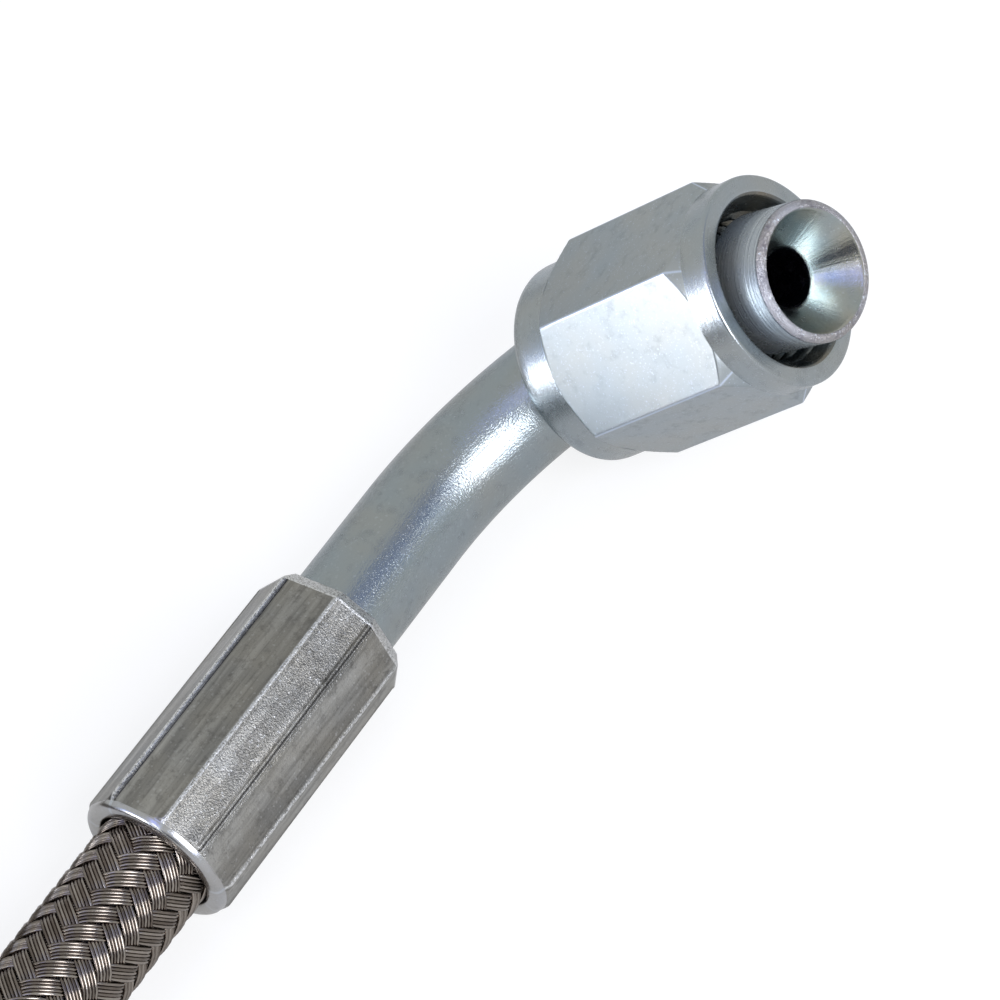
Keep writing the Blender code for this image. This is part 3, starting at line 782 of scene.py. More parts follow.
class HoseRoute:
    """The hose's centre line: straight out of the ferrule, one and a half turns, then to the far end."""

    EXIT_X = -11.1 * MM
    AXIS_HEIGHT = 5.25 * MM
    RUN = (
        (-11.1, 0.0, 5.25), (-16.5, 0.0, 5.25), (-22.0, 0.0, 5.25), (-27.0, 0.0, 5.25),
        (-32.2, 0.0, 5.25), (-42.0, 0.0, 5.25), (-51.0, 0.0, 5.25),
    )
    TAIL = (
        (-51.0, 96.0, 13.25), (-42.0, 96.0, 12.8), (-32.2, 96.0, 12.2), (-22.0, 96.0, 11.3),
        (-12.0, 96.0, 10.4), (-2.0, 96.0, 9.6), (8.0, 96.0, 8.95), (18.0, 96.0, 8.5),
        (27.0, 96.0, 8.4), (35.1, 96.0, 8.4),
    )
    COIL_CENTRE = Vector((-61.0, 48.0, 0.0)) * MM
    COIL_RADIUS = 48.0 * MM
    TURNS = 1.5
    TURN_PITCH = 8.1 * MM
    CLIMB_START = 218.0
    CLIMB_END = 342.0
    POINTS_PER_TURN = 36
    STEPS_PER_POINT = 6

    def __init__(self) -> None:
        """Works the route out once."""
        self.points = self._smoothed(self._control_points())
        self.distances = [0.0]
        for before, after in zip(self.points, self.points[1:]):
            self.distances.append(self.distances[-1] + (after - before).length)
        self.length = self.distances[-1]

    def _control_points(self) -> list[Vector]:
        """Returns the route's own points: its run, the coil's turns by a loop, and its tail."""
        points = [Vector(point) * MM for point in self.RUN]
        count = round(self.POINTS_PER_TURN * self.TURNS)
        for number in range(count + 1):
            wound = 360.0 * self.TURNS * number / count
            angle = math.radians(-90 - wound)
            climb = smooth_step((wound - self.CLIMB_START) / (self.CLIMB_END - self.CLIMB_START))
            offset = Vector((math.cos(angle), math.sin(angle), 0)) * self.COIL_RADIUS
            height = self.AXIS_HEIGHT + self.TURN_PITCH * climb
            points.append(self.COIL_CENTRE + offset + UP * height)
        return points + [Vector(point) * MM for point in self.TAIL]

    def _smoothed(self, points: list[Vector]) -> list[Vector]:
        """Returns a finer line on one smooth curve through the points."""
        padded = [points[0] * 2 - points[1]] + points + [points[-1] * 2 - points[-2]]
        line: list[Vector] = []
        for first, second, third, fourth in zip(padded, padded[1:], padded[2:], padded[3:]):
            for step in range(self.STEPS_PER_POINT):
                t = step / self.STEPS_PER_POINT
                line.append(0.5 * (second * 2 + (third - first) * t
                                   + (first * 2 - second * 5 + third * 4 - fourth) * t * t
                                   + (second * 3 - first - third * 3 + fourth) * t ** 3))
        line.append(points[-1])
        return line

    def frame_at(self, distance: float) -> Matrix:
        """Gives the frame of the hose at a distance from its mouth.

        Args:
            distance: Distance along the centre line; below zero or past its length it runs on straight.

        Returns:
            A matrix whose +Z is the hose's direction and whose +Y leans up.
        """
        number = bisect.bisect_right(self.distances, distance) - 1
        number = min(max(number, 0), len(self.points) - 2)
        start, end = self.points[number], self.points[number + 1]
        span = self.distances[number + 1] - self.distances[number]
        share = (distance - self.distances[number]) / span
        forward = (end - start).normalized()
        before = (start - self.points[max(number - 1, 0)]).normalized() if number else forward
        after_end = self.points[min(number + 2, len(self.points) - 1)]
        after = (after_end - end).normalized() if after_end != end else forward
        inside = min(1.0, max(0.0, share))
        direction = ((before + forward) * (1 - inside) + (forward + after) * inside).normalized()
        place = start + forward * (share * span)
        side = UP.cross(direction).normalized() * -1
        return axis_frame(place, direction, side)

    def path(self) -> list[Vector]:
        """Returns the points that the core follows, close enough together to have its length."""
        return self.points


@dataclass(frozen=True)
class StrandSection:
    """The section of a strand: its corners as (across, above) pairs, and its places across its carrier."""

    corners: tuple[tuple[float, float], ...]
    offsets: tuple[float, ...]
    steps_per_lead: int


class Braid:
    """Twelve carriers of wires wound each way round the hose, woven over two and under two."""

    CARRIERS = 12
    LEAD = 17.8 * MM
    WIRES = 5
    WIRE_PITCH = 0.222 * MM
    WIRE_RADIUS = 0.113 * MM
    WIRE_CORNERS = 6
    BAND_WIDTH = 1.12 * MM
    BAND_CROWN = 0.07 * MM
    BAND_DEPTH = 0.16 * MM
    MIDDLE_RADIUS = 3.79 * MM
    LIFT = 0.19 * MM
    NEAR_STEPS = 60
    FAR_STEPS = 24
    FLATTENING = 0.55
    TINT_STRIDE = 0.618034

    def __init__(self, route: HoseRoute) -> None:
        """Keeps the hose's centre line and the braid's angle."""
        self.route = route
        self.slope = math.atan(TAU * self.MIDDLE_RADIUS / self.LEAD)

    def wires(self) -> StrandSection:
        """Returns the round section of single wires, side by side in their carrier."""
        corners = []
        for corner in range(self.WIRE_CORNERS):
            angle = TAU * (corner + 0.5) / self.WIRE_CORNERS
            corners.append((self.WIRE_RADIUS * math.cos(angle), self.WIRE_RADIUS * math.sin(angle)))
        middle = (self.WIRES - 1) / 2
        offsets = tuple((wire - middle) * self.WIRE_PITCH for wire in range(self.WIRES))
        return StrandSection(tuple(corners), offsets, self.NEAR_STEPS)

    def bands(self) -> StrandSection:
        """Returns the section of a whole carrier as one crowned band."""
        half = self.BAND_WIDTH / 2
        corners = ((half, 0.0), (0.0, self.BAND_CROWN), (-half, 0.0), (-half, -self.BAND_DEPTH),
                   (half, -self.BAND_DEPTH))
        return StrandSection(corners, (0.0,), self.FAR_STEPS)

    def height(self, phase: float) -> float:
        """Returns how high a strand rides at a crossing phase, from -1 to 1, with two crossings up."""
        wave = math.cos(math.pi * (phase - 0.5) / 2)
        return wave * (1 + self.FLATTENING * (1 - wave * wave))

    def point(self, place: Matrix, distance: float, hand: int, carrier: int, offset: float,
              corner: tuple[float, float]) -> Vector:
        """Gives a point of a strand's section.

        Args:
            place: The hose's frame at the distance.
            distance: Distance along the hose.
            hand: 1 for right-handed carriers and -1 for left-handed ones.
            carrier: The carrier's number.
            offset: The strand's place across its carrier.
            corner: The section's corner, across and above.

        Returns:
            The point in the row frame.
        """
        across, above = corner
        turned = TAU * distance / self.LEAD
        angle = TAU * carrier / self.CARRIERS + hand * turned
        angle += offset / math.cos(self.slope) / self.MIDDLE_RADIUS
        crossing = (angle + hand * turned) * self.CARRIERS / TAU
        radius = self.MIDDLE_RADIUS + self.LIFT * hand * self.height(carrier + crossing) + above
        angle += across * math.cos(self.slope) / self.MIDDLE_RADIUS
        shift = -hand * across * math.sin(self.slope)
        return place @ Vector((radius * math.cos(angle), radius * math.sin(angle), shift))

    def draw(self, section: StrandSection, start: float, end: float) -> bmesh.types.BMesh:
        """Draws all strands over a stretch of the hose.

        Args:
            section: The strands' section.
            start: Distance along the hose where they begin.
            end: Distance where they end.

        Returns:
            One mesh of closed strands, with the attribute "strand" and the surface map.
        """
        shape = bmesh.new()
        keys = [(hand, carrier, offset) for hand in (1, -1) for carrier in range(self.CARRIERS)
                for offset in section.offsets]
        key_layer = shape.verts.layers.int.new("key")
        corner_layer = shape.verts.layers.int.new("corner")
        row_layer = shape.verts.layers.int.new("row")
        strand_layer = shape.verts.layers.float.new("strand")
        for number in range(len(keys)):
            made = bmesh.ops.create_circle(shape, segments=len(section.corners), radius=1.0, cap_ends=False)
            for corner, vert in enumerate(made["verts"]):
                vert[key_layer] = number
                vert[corner_layer] = corner
                vert[strand_layer] = (number * self.TINT_STRIDE) % 1.0
        verts, edges = list(shape.verts), list(shape.edges)
        ends = [list(edges)]
        rows = max(2, math.ceil((end - start) / self.LEAD * section.steps_per_lead))
        for row in range(rows + 1):
            distance = start + (end - start) * row / rows
            if row:
                verts, edges = extrude_row(shape, edges)
            place = self.route.frame_at(distance)
            for vert in verts:
                hand, carrier, offset = keys[vert[key_layer]]
                corner = section.corners[vert[corner_layer]]
                vert.co = self.point(place, distance, hand, carrier, offset, corner)
                vert[row_layer] = row
        ends.append(list(edges))
        self._map_bands(shape, section, (end - start) / rows, corner_layer, row_layer)
        for loose in ends:
            bmesh.ops.edgeloop_fill(shape, edges=loose)
        for name in ("key", "corner", "row"):
            shape.verts.layers.int.remove(shape.verts.layers.int[name])
        bmesh.ops.recalc_face_normals(shape, faces=shape.faces)
        return shape

    def _map_bands(self, shape: bmesh.types.BMesh, section: StrandSection, step: float, corner_layer: object,
                   row_layer: object) -> None:
        """Maps each strand: 0..1 across it by its corners, millimetres along the hose."""
        surface = shape.loops.layers.uv.new("surface")
        widest = max(across for across, above in section.corners)
        for face in shape.faces:
            for loop in face.loops:
                across = section.corners[loop.vert[corner_layer]][0]
                loop[surface].uv = ((across / widest + 1) / 2, loop.vert[row_layer] * step / MM)


@dataclass
class Hose:
    """The braided hose: its smooth core, and its braid in four stretches."""

    finishes: Finishes
    route: HoseRoute
    diameter: float = 8.0 * MM
    core_radius: float = 3.56 * MM
    core_sides: int = 24
    core_step: float = 3.0 * MM
    end_in_ferrule: float = 15.5 * MM
    near_length: float = 19.6 * MM
    coil_split: float = 310.0 * MM

    def build(self) -> list[bpy.types.Object]:
        """Builds the core and the braid.

        Returns:
            The core first, then the pieces of the braid.
        """
        braid = Braid(self.route)
        near = make_piece("hose_wires", braid.draw(braid.wires(), -self.end_in_ferrule, self.near_length),
                          [self.finishes.wire], Body.LINE, ["elbow_braid_end"],
                          sharp=70.0)
        braids = [near]
        length = self.route.length
        for name, start, end, replaces in (
                ("hose_braid_coil", self.near_length, self.coil_split, []),
                ("hose_braid_tail", self.coil_split, length, []),
                ("far_braid_end", length, length + self.end_in_ferrule, ["straight_braid_end"])):
            braids.append(make_piece(name, braid.draw(braid.bands(), start, end), [self.finishes.band],
                                     Body.LINE, replaces, sharp=50.0))
        return [self._core(), *braids]

    def _core(self) -> bpy.types.Object:
        """Builds the smooth core under the wires, which carries the hose's length; its near-black finish is
        painted shade between the wires.
        """
        count = round(self.route.length / self.core_step)
        rings = []
        for number in range(count + 1):
            distance = self.route.length * number / count
            rings.append(Ring(self.route.frame_at(distance), self.core_radius, distance))
        shape = Skin(self.core_sides).draw(rings, capped=True)
        return make_piece("shaded_hose_core", shape, [self.finishes.core], Body.LINE,
                          ["hose_run", "hose_coil", "hose_tail"])


@dataclass
class Tie:
    """A nylon strap round both layers of the coil."""

    name: str
    angle: float
    route: HoseRoute
    finish: bpy.types.Material
    width: float = 4.0 * MM
    thickness: float = 0.95 * MM
    gap: float = 0.3 * MM
    hose_radius: float = 4.0 * MM
    end_steps: int = 20
    section_sides: int = 16
    squareness: float = 5.0

    def build(self) -> bpy.types.Object:
        """Builds the strap.

        Returns:
            The finished strap.
        """
        base = self.route.AXIS_HEIGHT - self.hose_radius
        half_height = self.hose_radius + self.route.TURN_PITCH / 2
        radial = Vector((math.cos(self.angle), math.sin(self.angle), 0))
        centre = self.route.COIL_CENTRE + radial * self.route.COIL_RADIUS + UP * (base + half_height)
        along_hose = radial.cross(UP)
        bend = self.hose_radius + self.gap + self.thickness / 2
        rings = []
        travelled = 0.0
        for end in (1, -1):
            for step in range(self.end_steps + 1):
                turn = math.pi * step / self.end_steps + (0.0 if end > 0 else math.pi)
                outward = radial * math.cos(turn) + UP * math.sin(turn)
                point = centre + UP * end * (half_height - self.hose_radius) + outward * bend
                forward = UP * math.cos(turn) - radial * math.sin(turn)
                rings.append(Ring(axis_frame(point, forward, outward), 1.0, travelled))
                travelled += bend * math.pi / self.end_steps
        shape = Skin(self.section_sides).draw(rings, self._section)
        return make_piece(self.name + "_strap", shape, [self.finish], Body.LINE, [self.name],
                          sharp=60.0)

    def _section(self, ring: Ring, angle: float) -> tuple[float, float]:
        """Returns the radius of a rounded rectangle at an angle, thin across the strap."""
        thin = abs(math.cos(angle)) / (self.thickness / 2)
        wide = abs(math.sin(angle)) / (self.width / 2)
        power = self.squareness
        return (thin ** power + wide ** power) ** (-1 / power), 0.0


@dataclass
class SwivelNut:
    """A loose swivel nut: hexagon between two round collars, threaded mouth, lip at its rear."""

    name: str
    node: str
    body: Body
    joint: str
    flat_mount: str
    finishes: Finishes
    across_flats: float = 14.3 * MM
    length: float = 18.2 * MM
    front_collar: float = 2.0 * MM
    rear_collar: float = 3.0 * MM
    chamfer: float = 0.9 * MM
    front_radius: float = 7.35 * MM
    rear_radius: float = 7.20 * MM
    mouth_radius: float = 6.06 * MM
    mouth_depth: float = 2.0 * MM
    thread_minor: float = 4.95 * MM
    thread_major: float = 5.50 * MM
    thread_pitch: float = 1.27 * MM
    thread_slope: float = 2.6
    thread_crest: float = 0.25
    thread_end: float = 7.0 * MM
    thread_run: float = 0.5 * MM
    relief_radius: float = 5.75 * MM
    lip_radius: float = 4.71 * MM
    lip_length: float = 0.65 * MM
    lip_edge: float = 1.2 * MM
    seat_depth: float = 1.1 * MM
    corner_round: float = 0.22 * MM
    # Width of the worn edge, which also carries a painted highlight.
    worn_highlight_width: float = 0.15 * MM
    sides: int = 252
    crowd: float = 0.72

    def __post_init__(self) -> None:
        """Takes the nut's place from its joint and its flat."""
        joint = next(item for item in frame["joints"] if item["name"] == self.joint)
        mount = next(item for item in frame["record"]["mounts"] if item["name"] == self.flat_mount)
        self.mouth = Vector(joint["pos_m"])
        self.axis = Vector(joint["axis"])
        self.place = axis_frame(self.mouth, self.axis, Vector(mount["axis"]))
        self.corner_radius = self.across_flats / 2 / math.cos(HALF_FLAT)

    def build(self) -> bpy.types.Object:
        """Builds the nut on its joint.

        Returns:
            The finished nut.
        """
        rings = turned_rings(outline_points(self._outline()), self.place)
        skin = Skin(self.sides, self.crowd, tuple(math.radians(corner) for corner in range(-30, 330, 60)))
        shape = skin.draw(rings, self._rule, {"wear_and_highlight": self._wear_and_highlight})
        covers = [self.finishes.nut_collars, self.finishes.nut_flats, self.finishes.shaded_nut_bore]
        return make_piece(self.name, shape, covers, self.body, [self.node],
                          sharp=28.0)

    def _outline(self) -> list[Corner]:
        """Returns the half section from the mouth's outer edge, down the outside and up the bore."""
        rear = -self.length
        front_end, rear_end = -self.front_collar, rear + self.rear_collar
        step = 0.02 * MM
        fine = 0.07 * MM
        lip_top = rear + self.lip_edge + self.lip_length
        collar, flats, bore = NutCover.COLLAR, NutCover.FLATS, NutCover.BORE
        return [
            Corner(self.front_radius, 0, 0.28 * MM, collar, 0.4 * MM),
            Corner(self.front_radius, front_end, 0.06 * MM, flats, 1 * MM),
            Corner(self.front_radius, front_end - step, 0, flats, fine, Kind.HEXAGON),
            Corner(self.corner_radius, front_end - self.chamfer, 0, flats, 1.5 * MM, Kind.HEXAGON),
            Corner(self.corner_radius, rear_end + self.chamfer, 0, flats, fine, Kind.HEXAGON),
            Corner(self.rear_radius, rear_end + step, 0, flats, 1 * MM, Kind.HEXAGON),
            Corner(self.rear_radius, rear_end, 0.05 * MM, collar, 0.5 * MM),
            Corner(self.rear_radius, rear, 0.85 * MM, collar, 0.5 * MM),
            Corner(self.lip_radius + self.lip_edge, rear, 0.1 * MM, bore, 0.4 * MM),
            Corner(self.lip_radius, rear + self.lip_edge, 0.1 * MM, bore, 0.4 * MM),
            Corner(self.lip_radius, lip_top, 0.05 * MM, bore, 0.4 * MM),
            Corner(self.relief_radius, lip_top + self.seat_depth, 0, bore, 1 * MM),
            Corner(self.relief_radius, -self.thread_end - self.thread_run, 0, bore, 0.12 * MM, Kind.THREAD),
            Corner(self.thread_minor, -self.thread_end, 0, bore, 0.115 * MM, Kind.THREAD),
            Corner(self.thread_minor, -self.mouth_depth, 0, bore, 0.10 * MM, Kind.THREAD),
            Corner(self.mouth_radius, 0, 0.28 * MM, collar, 0.3 * MM),
        ]

    @staticmethod
    def _off_flat(angle: float) -> float:
        """Returns the angle off the middle of the nearest flat."""
        return angle - round(angle / (2 * HALF_FLAT)) * 2 * HALF_FLAT

    def _hexagon(self, angle: float) -> float:
        """Returns the hexagon's radius at an angle, with its corners slightly rounded."""
        off = self._off_flat(angle)
        flat = self.across_flats / 2 / math.cos(off)
        from_corner = HALF_FLAT - abs(off)
        centre = (self.across_flats / 2 - self.corner_round) / math.cos(HALF_FLAT)
        reach = centre * math.sin(from_corner)
        if reach >= self.corner_round * math.sin(HALF_FLAT):
            return flat
        return centre * math.cos(from_corner) + math.sqrt(self.corner_round ** 2 - reach ** 2)

    def _thread(self, height: float, angle: float) -> float:
        """Returns the bore's radius on the thread, a helix of even V grooves with flat crests."""
        phase = (height / self.thread_pitch + angle / TAU) % 1.0
        depth = (0.5 - abs(phase - 0.5)) * self.thread_slope - self.thread_crest
        depth = max(0.0, min(1.0, depth))
        return self.thread_minor + (self.thread_major - self.thread_minor) * depth

    def _rule(self, ring: Ring, angle: float) -> tuple[float, float]:
        """Returns a ring's radius at an angle: the hexagon, the thread or the plain outline."""
        if ring.kind is Kind.HEXAGON:
            return min(ring.radius, self._hexagon(angle)), 0.0
        if ring.kind is Kind.THREAD:
            height = (ring.place.translation - self.mouth).dot(self.axis)
            return max(ring.radius, self._thread(height, angle)), 0.0
        return ring.radius, 0.0

    def _wear_and_highlight(self, ring: Ring, angle: float) -> float:
        """Returns how much an edge of the hexagon is worn bright at an angle: wear with a painted highlight."""
        if ring.kind is not Kind.HEXAGON:
            return 0.0
        from_corner = (HALF_FLAT - abs(self._off_flat(angle))) * self.corner_radius
        return 1.0 - smooth_step(from_corner / self.worn_highlight_width)


@dataclass(frozen=True)
class Nose:
    """The stem's round nose with the seat cone in it, told from its face backward."""

    radius: float = 4.75 * MM
    length: float = 5.2 * MM
    back: float = 1.0 * MM
    back_edge: float = 0.15 * MM
    edge: float = 0.48 * MM
    cone_mouth: float = 4.15 * MM
    cone_angle: float = math.radians(37)
    bore: float = 2.0 * MM
    neck: float = 3.4 * MM
    rows: int = 14
    edge_rows: int = 6

    def outer(self) -> list[tuple[float, float, int]]:
        """Returns (distance behind the face, radius, finish) from the neck to the face's outer edge."""
        nose = StemCover.NOSE
        rows = [(self.length + self.back, self.neck, nose),
                (self.length + 0.1 * MM, self.radius - self.back_edge, nose),
                (self.length - self.back_edge, self.radius, nose)]
        for row in range(1, self.rows):
            rows.append((self.length * (1 - row / self.rows), self.radius, nose))
        for step in range(self.edge_rows + 1):
            turn = math.pi / 2 * step / self.edge_rows
            radius = self.radius - self.edge * (1 - math.cos(turn))
            rows.append((self.edge * (1 - math.sin(turn)), radius, StemCover.RIM))
        return rows

    def inner(self) -> list[tuple[float, float, int]]:
        """Returns (distance behind the face, radius, finish) from the face's inner edge to the bore."""
        lip = 0.07 * MM
        depth = (self.cone_mouth - self.bore) / math.tan(self.cone_angle)
        rows = [(0.0, (self.radius - self.edge + self.cone_mouth) / 2, StemCover.RIM),
                (0.0, self.cone_mouth + lip, StemCover.RIM), (lip * 0.6, self.cone_mouth, StemCover.CONE)]
        for row in range(1, self.rows + 1):
            share = row / self.rows
            radius = self.cone_mouth + (self.bore - self.cone_mouth) * share
            rows.append((lip + depth * share, radius, StemCover.CONE))
        rows.append((lip + depth + 0.15 * MM, self.bore - 0.05 * MM, StemCover.BORE))
        return rows


@dataclass
class Stem:
    """A bored tube with its nose: straight, or with one bend."""

    name: str
    node: str
    foot: Vector
    finishes: Finishes
    straight: float
    bend_radius: float = 0.0
    bend_angle: float = 0.0
    lift: float = 0.0
    nose_straight: float = 0.0
    tube_radius: float = 3.97 * MM
    neck_end: float = 11.3 * MM
    neck_taper: float = 3.4 * MM
    nose: Nose = Nose()
    sides: int = 96
    bend_rows: int = 60
    row_gap: float = 0.5 * MM

    def _centre_line(self) -> list[Matrix]:
        """Returns the frames from the foot to the nose's face."""
        along = Vector((1, 0, 0))
        toward = Vector((0, -math.cos(self.lift), math.sin(self.lift)))
        across = along.cross(toward)
        frames = [axis_frame(self.foot + along * self.straight * share, along, across)
                  for share in (0.0, 0.25, 0.5, 0.75, 1.0)]
        start = self.foot + along * self.straight
        centre = start + toward * self.bend_radius
        direction = along
        point = start
        if self.bend_angle:
            for row in range(1, self.bend_rows + 1):
                turn = self.bend_angle * row / self.bend_rows
                direction = along * math.cos(turn) + toward * math.sin(turn)
                point = centre + (along * math.sin(turn) - toward * math.cos(turn)) * self.bend_radius
                frames.append(axis_frame(point, direction, across))
        return frames + [axis_frame(point + direction * self.nose_straight, direction, across)]

    def build(self) -> bpy.types.Object:
        """Builds the stem.

        Returns:
            The finished stem.
        """
        *frames, face = self._centre_line()
        deep = self.nose.length + self.nose.back
        places = [(place, distance) for place, distance in zip(frames, self._distances_behind([*frames, face]))
                  if distance > deep + self.row_gap]
        outside = [(place, self._tube_radius(distance), StemCover.TUBE) for place, distance in places]
        if not self.bend_angle:
            for distance in (self.neck_end + self.neck_taper, self.neck_end):
                place = self._back_from(face, distance)
                outside.append((place, self._tube_radius(distance), StemCover.TUBE))
        for distance, radius, cover in self.nose.outer() + self.nose.inner():
            outside.append((self._back_from(face, distance), radius, cover))
        inside = [(place, self.nose.bore, StemCover.BORE) for place, _ in places]
        inside.append((self._back_from(face, deep), self.nose.bore, StemCover.BORE))
        rings = measured([Ring(place, radius, 0.0, cover)
                          for place, radius, cover in outside + inside[::-1]])
        covers = [self.finishes.tube, self.finishes.nose, self.finishes.rim, self.finishes.cone,
                  self.finishes.bore]
        shape = Skin(self.sides).draw(rings)
        return make_piece(self.name, shape, covers, Body.LINE, [self.node],
                          sharp=30.0)

    @staticmethod
    def _back_from(face: Matrix, distance: float) -> Matrix:
        """Returns the frame that lies straight behind the face."""
        return face @ Matrix.Translation((0, 0, -distance))

    @staticmethod
    def _distances_behind(frames: list[Matrix]) -> list[float]:
        """Returns each frame's distance behind the face, along the stem."""
        behind = [0.0]
        for later, earlier in zip(reversed(frames), list(reversed(frames))[1:]):
            behind.append(behind[-1] + (later.translation - earlier.translation).length)
        return list(reversed(behind))

    def _tube_radius(self, distance: float) -> float:
        """Returns the tube's radius at a distance behind the face."""
        share = (distance - self.neck_end) / self.neck_taper
        return self.nose.neck + (self.tube_radius - self.nose.neck) * min(1.0, max(0.0, share))


@dataclass(frozen=True)
class Facet:
    """One pressed face of the ferrule: its first corner in degrees, and how the die left it."""

    corner: float
    bite: float
    ridge: float
    groove: float = 0.3


@dataclass
class Ferrule:
    """A ferrule crimped between dies to uneven faces, with ridges between them, rolled in at its nose."""

    name: str
    node: str
    finishes: Finishes
    corner_radius: float = 5.68 * MM
    ridge_radius: float = 5.60 * MM
    ridge_half: float = 0.17 * MM
    ridge_rise: float = 0.10 * MM
    groove_half: float = 0.12 * MM
    groove_depth: float = 0.12 * MM
    hose_bore: float = 4.12 * MM
    tube_bore: float = 4.09 * MM
    step_depth: float = 2.6 * MM
    nose_radius: float = 4.66 * MM
    bevel_radius: float = 5.22 * MM
    bevel_length: float = 0.80 * MM
    # A painted highlight on the nose's bevel.
    bevel_highlight: float = 0.75
    crest_inset: float = 0.95 * MM
    lip_length: float = 0.62 * MM
    lip_radius: float = 5.42 * MM
    lip_face_radius: float = 5.30 * MM
    lip_rise: float = 0.10 * MM
    flat_radius: float = 5.25 * MM
    facets: tuple[Facet, ...] = (
        Facet(-22.5, 0.25, 1.0, 1.0), Facet(22.5, 1.0, 0.8, 0.2), Facet(53.5, 0.45, 0.1, 0.9),
        Facet(93.0, 0.6, 0.9), Facet(125.0, 0.3, 0.4), Facet(157.5, 0.8, 0.7), Facet(202.5, 0.3, 0.5),
        Facet(247.5, 0.5, 0.8), Facet(292.5, 0.3, 0.6),
    )
    sides: int = 252
    crowd: float = 0.8

    def __post_init__(self) -> None:
        """Takes the ferrule's place from its CAD node's box."""
        low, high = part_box(self.node)
        self.place = axis_frame((low + high) / 2, Vector((1, 0, 0)), UP)
        self.half = (high.x - low.x) / 2
        self.corners = [math.radians(facet.corner) for facet in self.facets]

    def build(self) -> bpy.types.Object:
        """Builds the ferrule.

        Returns:
            The finished ferrule.
        """
        rings = turned_rings(outline_points(self._outline()), self.place)
        marks = {"wear_and_highlight": self._wear_and_highlight, "groove": self._groove_shade, "bite": self._bite}
        shape = Skin(self.sides, self.crowd, tuple(self.corners)).draw(rings, self._rule, marks)
        return make_piece(self.name, shape, [self.finishes.ferrule, self.finishes.lip], Body.LINE,
                          [self.node], sharp=32.0)

    def _outline(self) -> list[Corner]:
        """Returns the half section from the nose, down the outside and up the bore."""
        half, step = self.half, self.half - self.step_depth
        crest, inset = self.ridge_radius + self.ridge_rise, self.half - self.crest_inset
        body, lip = FerruleCover.BODY, FerruleCover.LIP
        return [
            Corner(self.nose_radius, half, 0.10 * MM, body, 0.15 * MM, Kind.BEVEL),
            Corner(self.bevel_radius, half - self.bevel_length, 0, body, 0.10 * MM, Kind.BEVEL),
            Corner(crest, inset, 0.05 * MM, body, 1.2 * MM, Kind.PRESSED),
            Corner(crest, -inset, 0.3 * MM, body, 0.12 * MM, Kind.PRESSED),
            Corner(self.lip_radius, -half + self.lip_length, 0.12 * MM, lip, 0.12 * MM, Kind.LIP),
            Corner(self.lip_face_radius, -half, 0.50 * MM, lip, 0.2 * MM, Kind.LIP),
            Corner(self.hose_bore, -half, 0.42 * MM, lip, 1.5 * MM),
            Corner(self.hose_bore, step, 0, body, 1 * MM),
            Corner(self.tube_bore, step, 0, body, 1 * MM),
            Corner(self.tube_bore, half, 0.10 * MM, body, 0.3 * MM),
        ]

    def _place_on_facet(self, angle: float) -> tuple[int, float, float, float]:
        """Tells where on the crimped outside an angle lies.

        Args:
            angle: The angle round the ferrule, from the first corner on.

        Returns:
            The facet's number, the angle off its middle, half its angle, and the number of the facet that
            starts at the nearest ridge.
        """
        count = len(self.corners)
        number = bisect.bisect_right(self.corners, angle + 1e-9) - 1
        start = self.corners[number]
        end = self.corners[number + 1] if number + 1 < count else self.corners[0] + TAU
        off = angle - (start + end) / 2
        return number, off, (end - start) / 2, (number + (1 if off > 0 else 0)) % count

    def _from_ridge(self, angle: float) -> tuple[float, Facet]:
        """Returns the distance from the nearest ridge, and the facet that starts there."""
        _, off, half, ridge = self._place_on_facet(angle)
        return (half - abs(off)) * self.ridge_radius, self.facets[ridge]

    def _rule(self, ring: Ring, angle: float) -> tuple[float, float]:
        """Returns a ring's radius on the pressed flats and ridges."""
        if ring.kind is Kind.PLAIN:
            return ring.radius, 0.0
        _, off, half, _ = self._place_on_facet(angle)
        flat = self.corner_radius * math.cos(half) / math.cos(off)
        if ring.kind is Kind.BEVEL:
            return min(ring.radius * flat / self.flat_radius, flat), 0.0
        if ring.kind is Kind.LIP:
            return min(ring.radius, flat + self.lip_rise), 0.0
        from_ridge, facet = self._from_ridge(angle)
        on_ridge = 1.0 - smooth_step((from_ridge - self.ridge_half * 0.7) / (self.ridge_half * 0.5))
        in_groove = self._hump((from_ridge - self.ridge_half - self.groove_half) / self.groove_half)
        crest = min(flat, self.ridge_radius) + self.ridge_rise * facet.ridge
        radius = flat + (crest - flat) * on_ridge - self.groove_depth * facet.groove * in_groove
        return min(ring.radius, radius), 0.0

    @staticmethod
    def _hump(value: float) -> float:
        """Returns a soft hump between -1 and 1."""
        return max(0.0, 1.0 - value * value) ** 2

    def _wear_and_highlight(self, ring: Ring, angle: float) -> float:
        """Returns how bright the ridges and the nose's bevel are painted: wear with a painted highlight on the
        ridges, a painted highlight on the bevel.
        """
        if ring.kind is Kind.BEVEL:
            return self.bevel_highlight
        if ring.kind is Kind.PLAIN:
            return 0.0
        from_ridge, facet = self._from_ridge(angle)
        past = (from_ridge - self.ridge_half * 0.4) / (self.ridge_half * 0.8)
        return facet.ridge * (1.0 - smooth_step(past))

    def _groove_shade(self, ring: Ring, angle: float) -> float:
        """Returns how dark the painted shade in the crease beside a ridge is."""
        if ring.kind is not Kind.PRESSED:
            return 0.0
        from_ridge, facet = self._from_ridge(angle)
        if facet.ridge < 0.2:
            return self._hump(from_ridge / self.ridge_half)
        line = self._hump((from_ridge - self.ridge_half - self.groove_half) / (self.groove_half * 1.5))
        return line * facet.groove

    def _bite(self, ring: Ring, angle: float) -> float:
        """Returns how granular the die left the facet."""
        return self.facets[self._place_on_facet(angle)[0]].bite


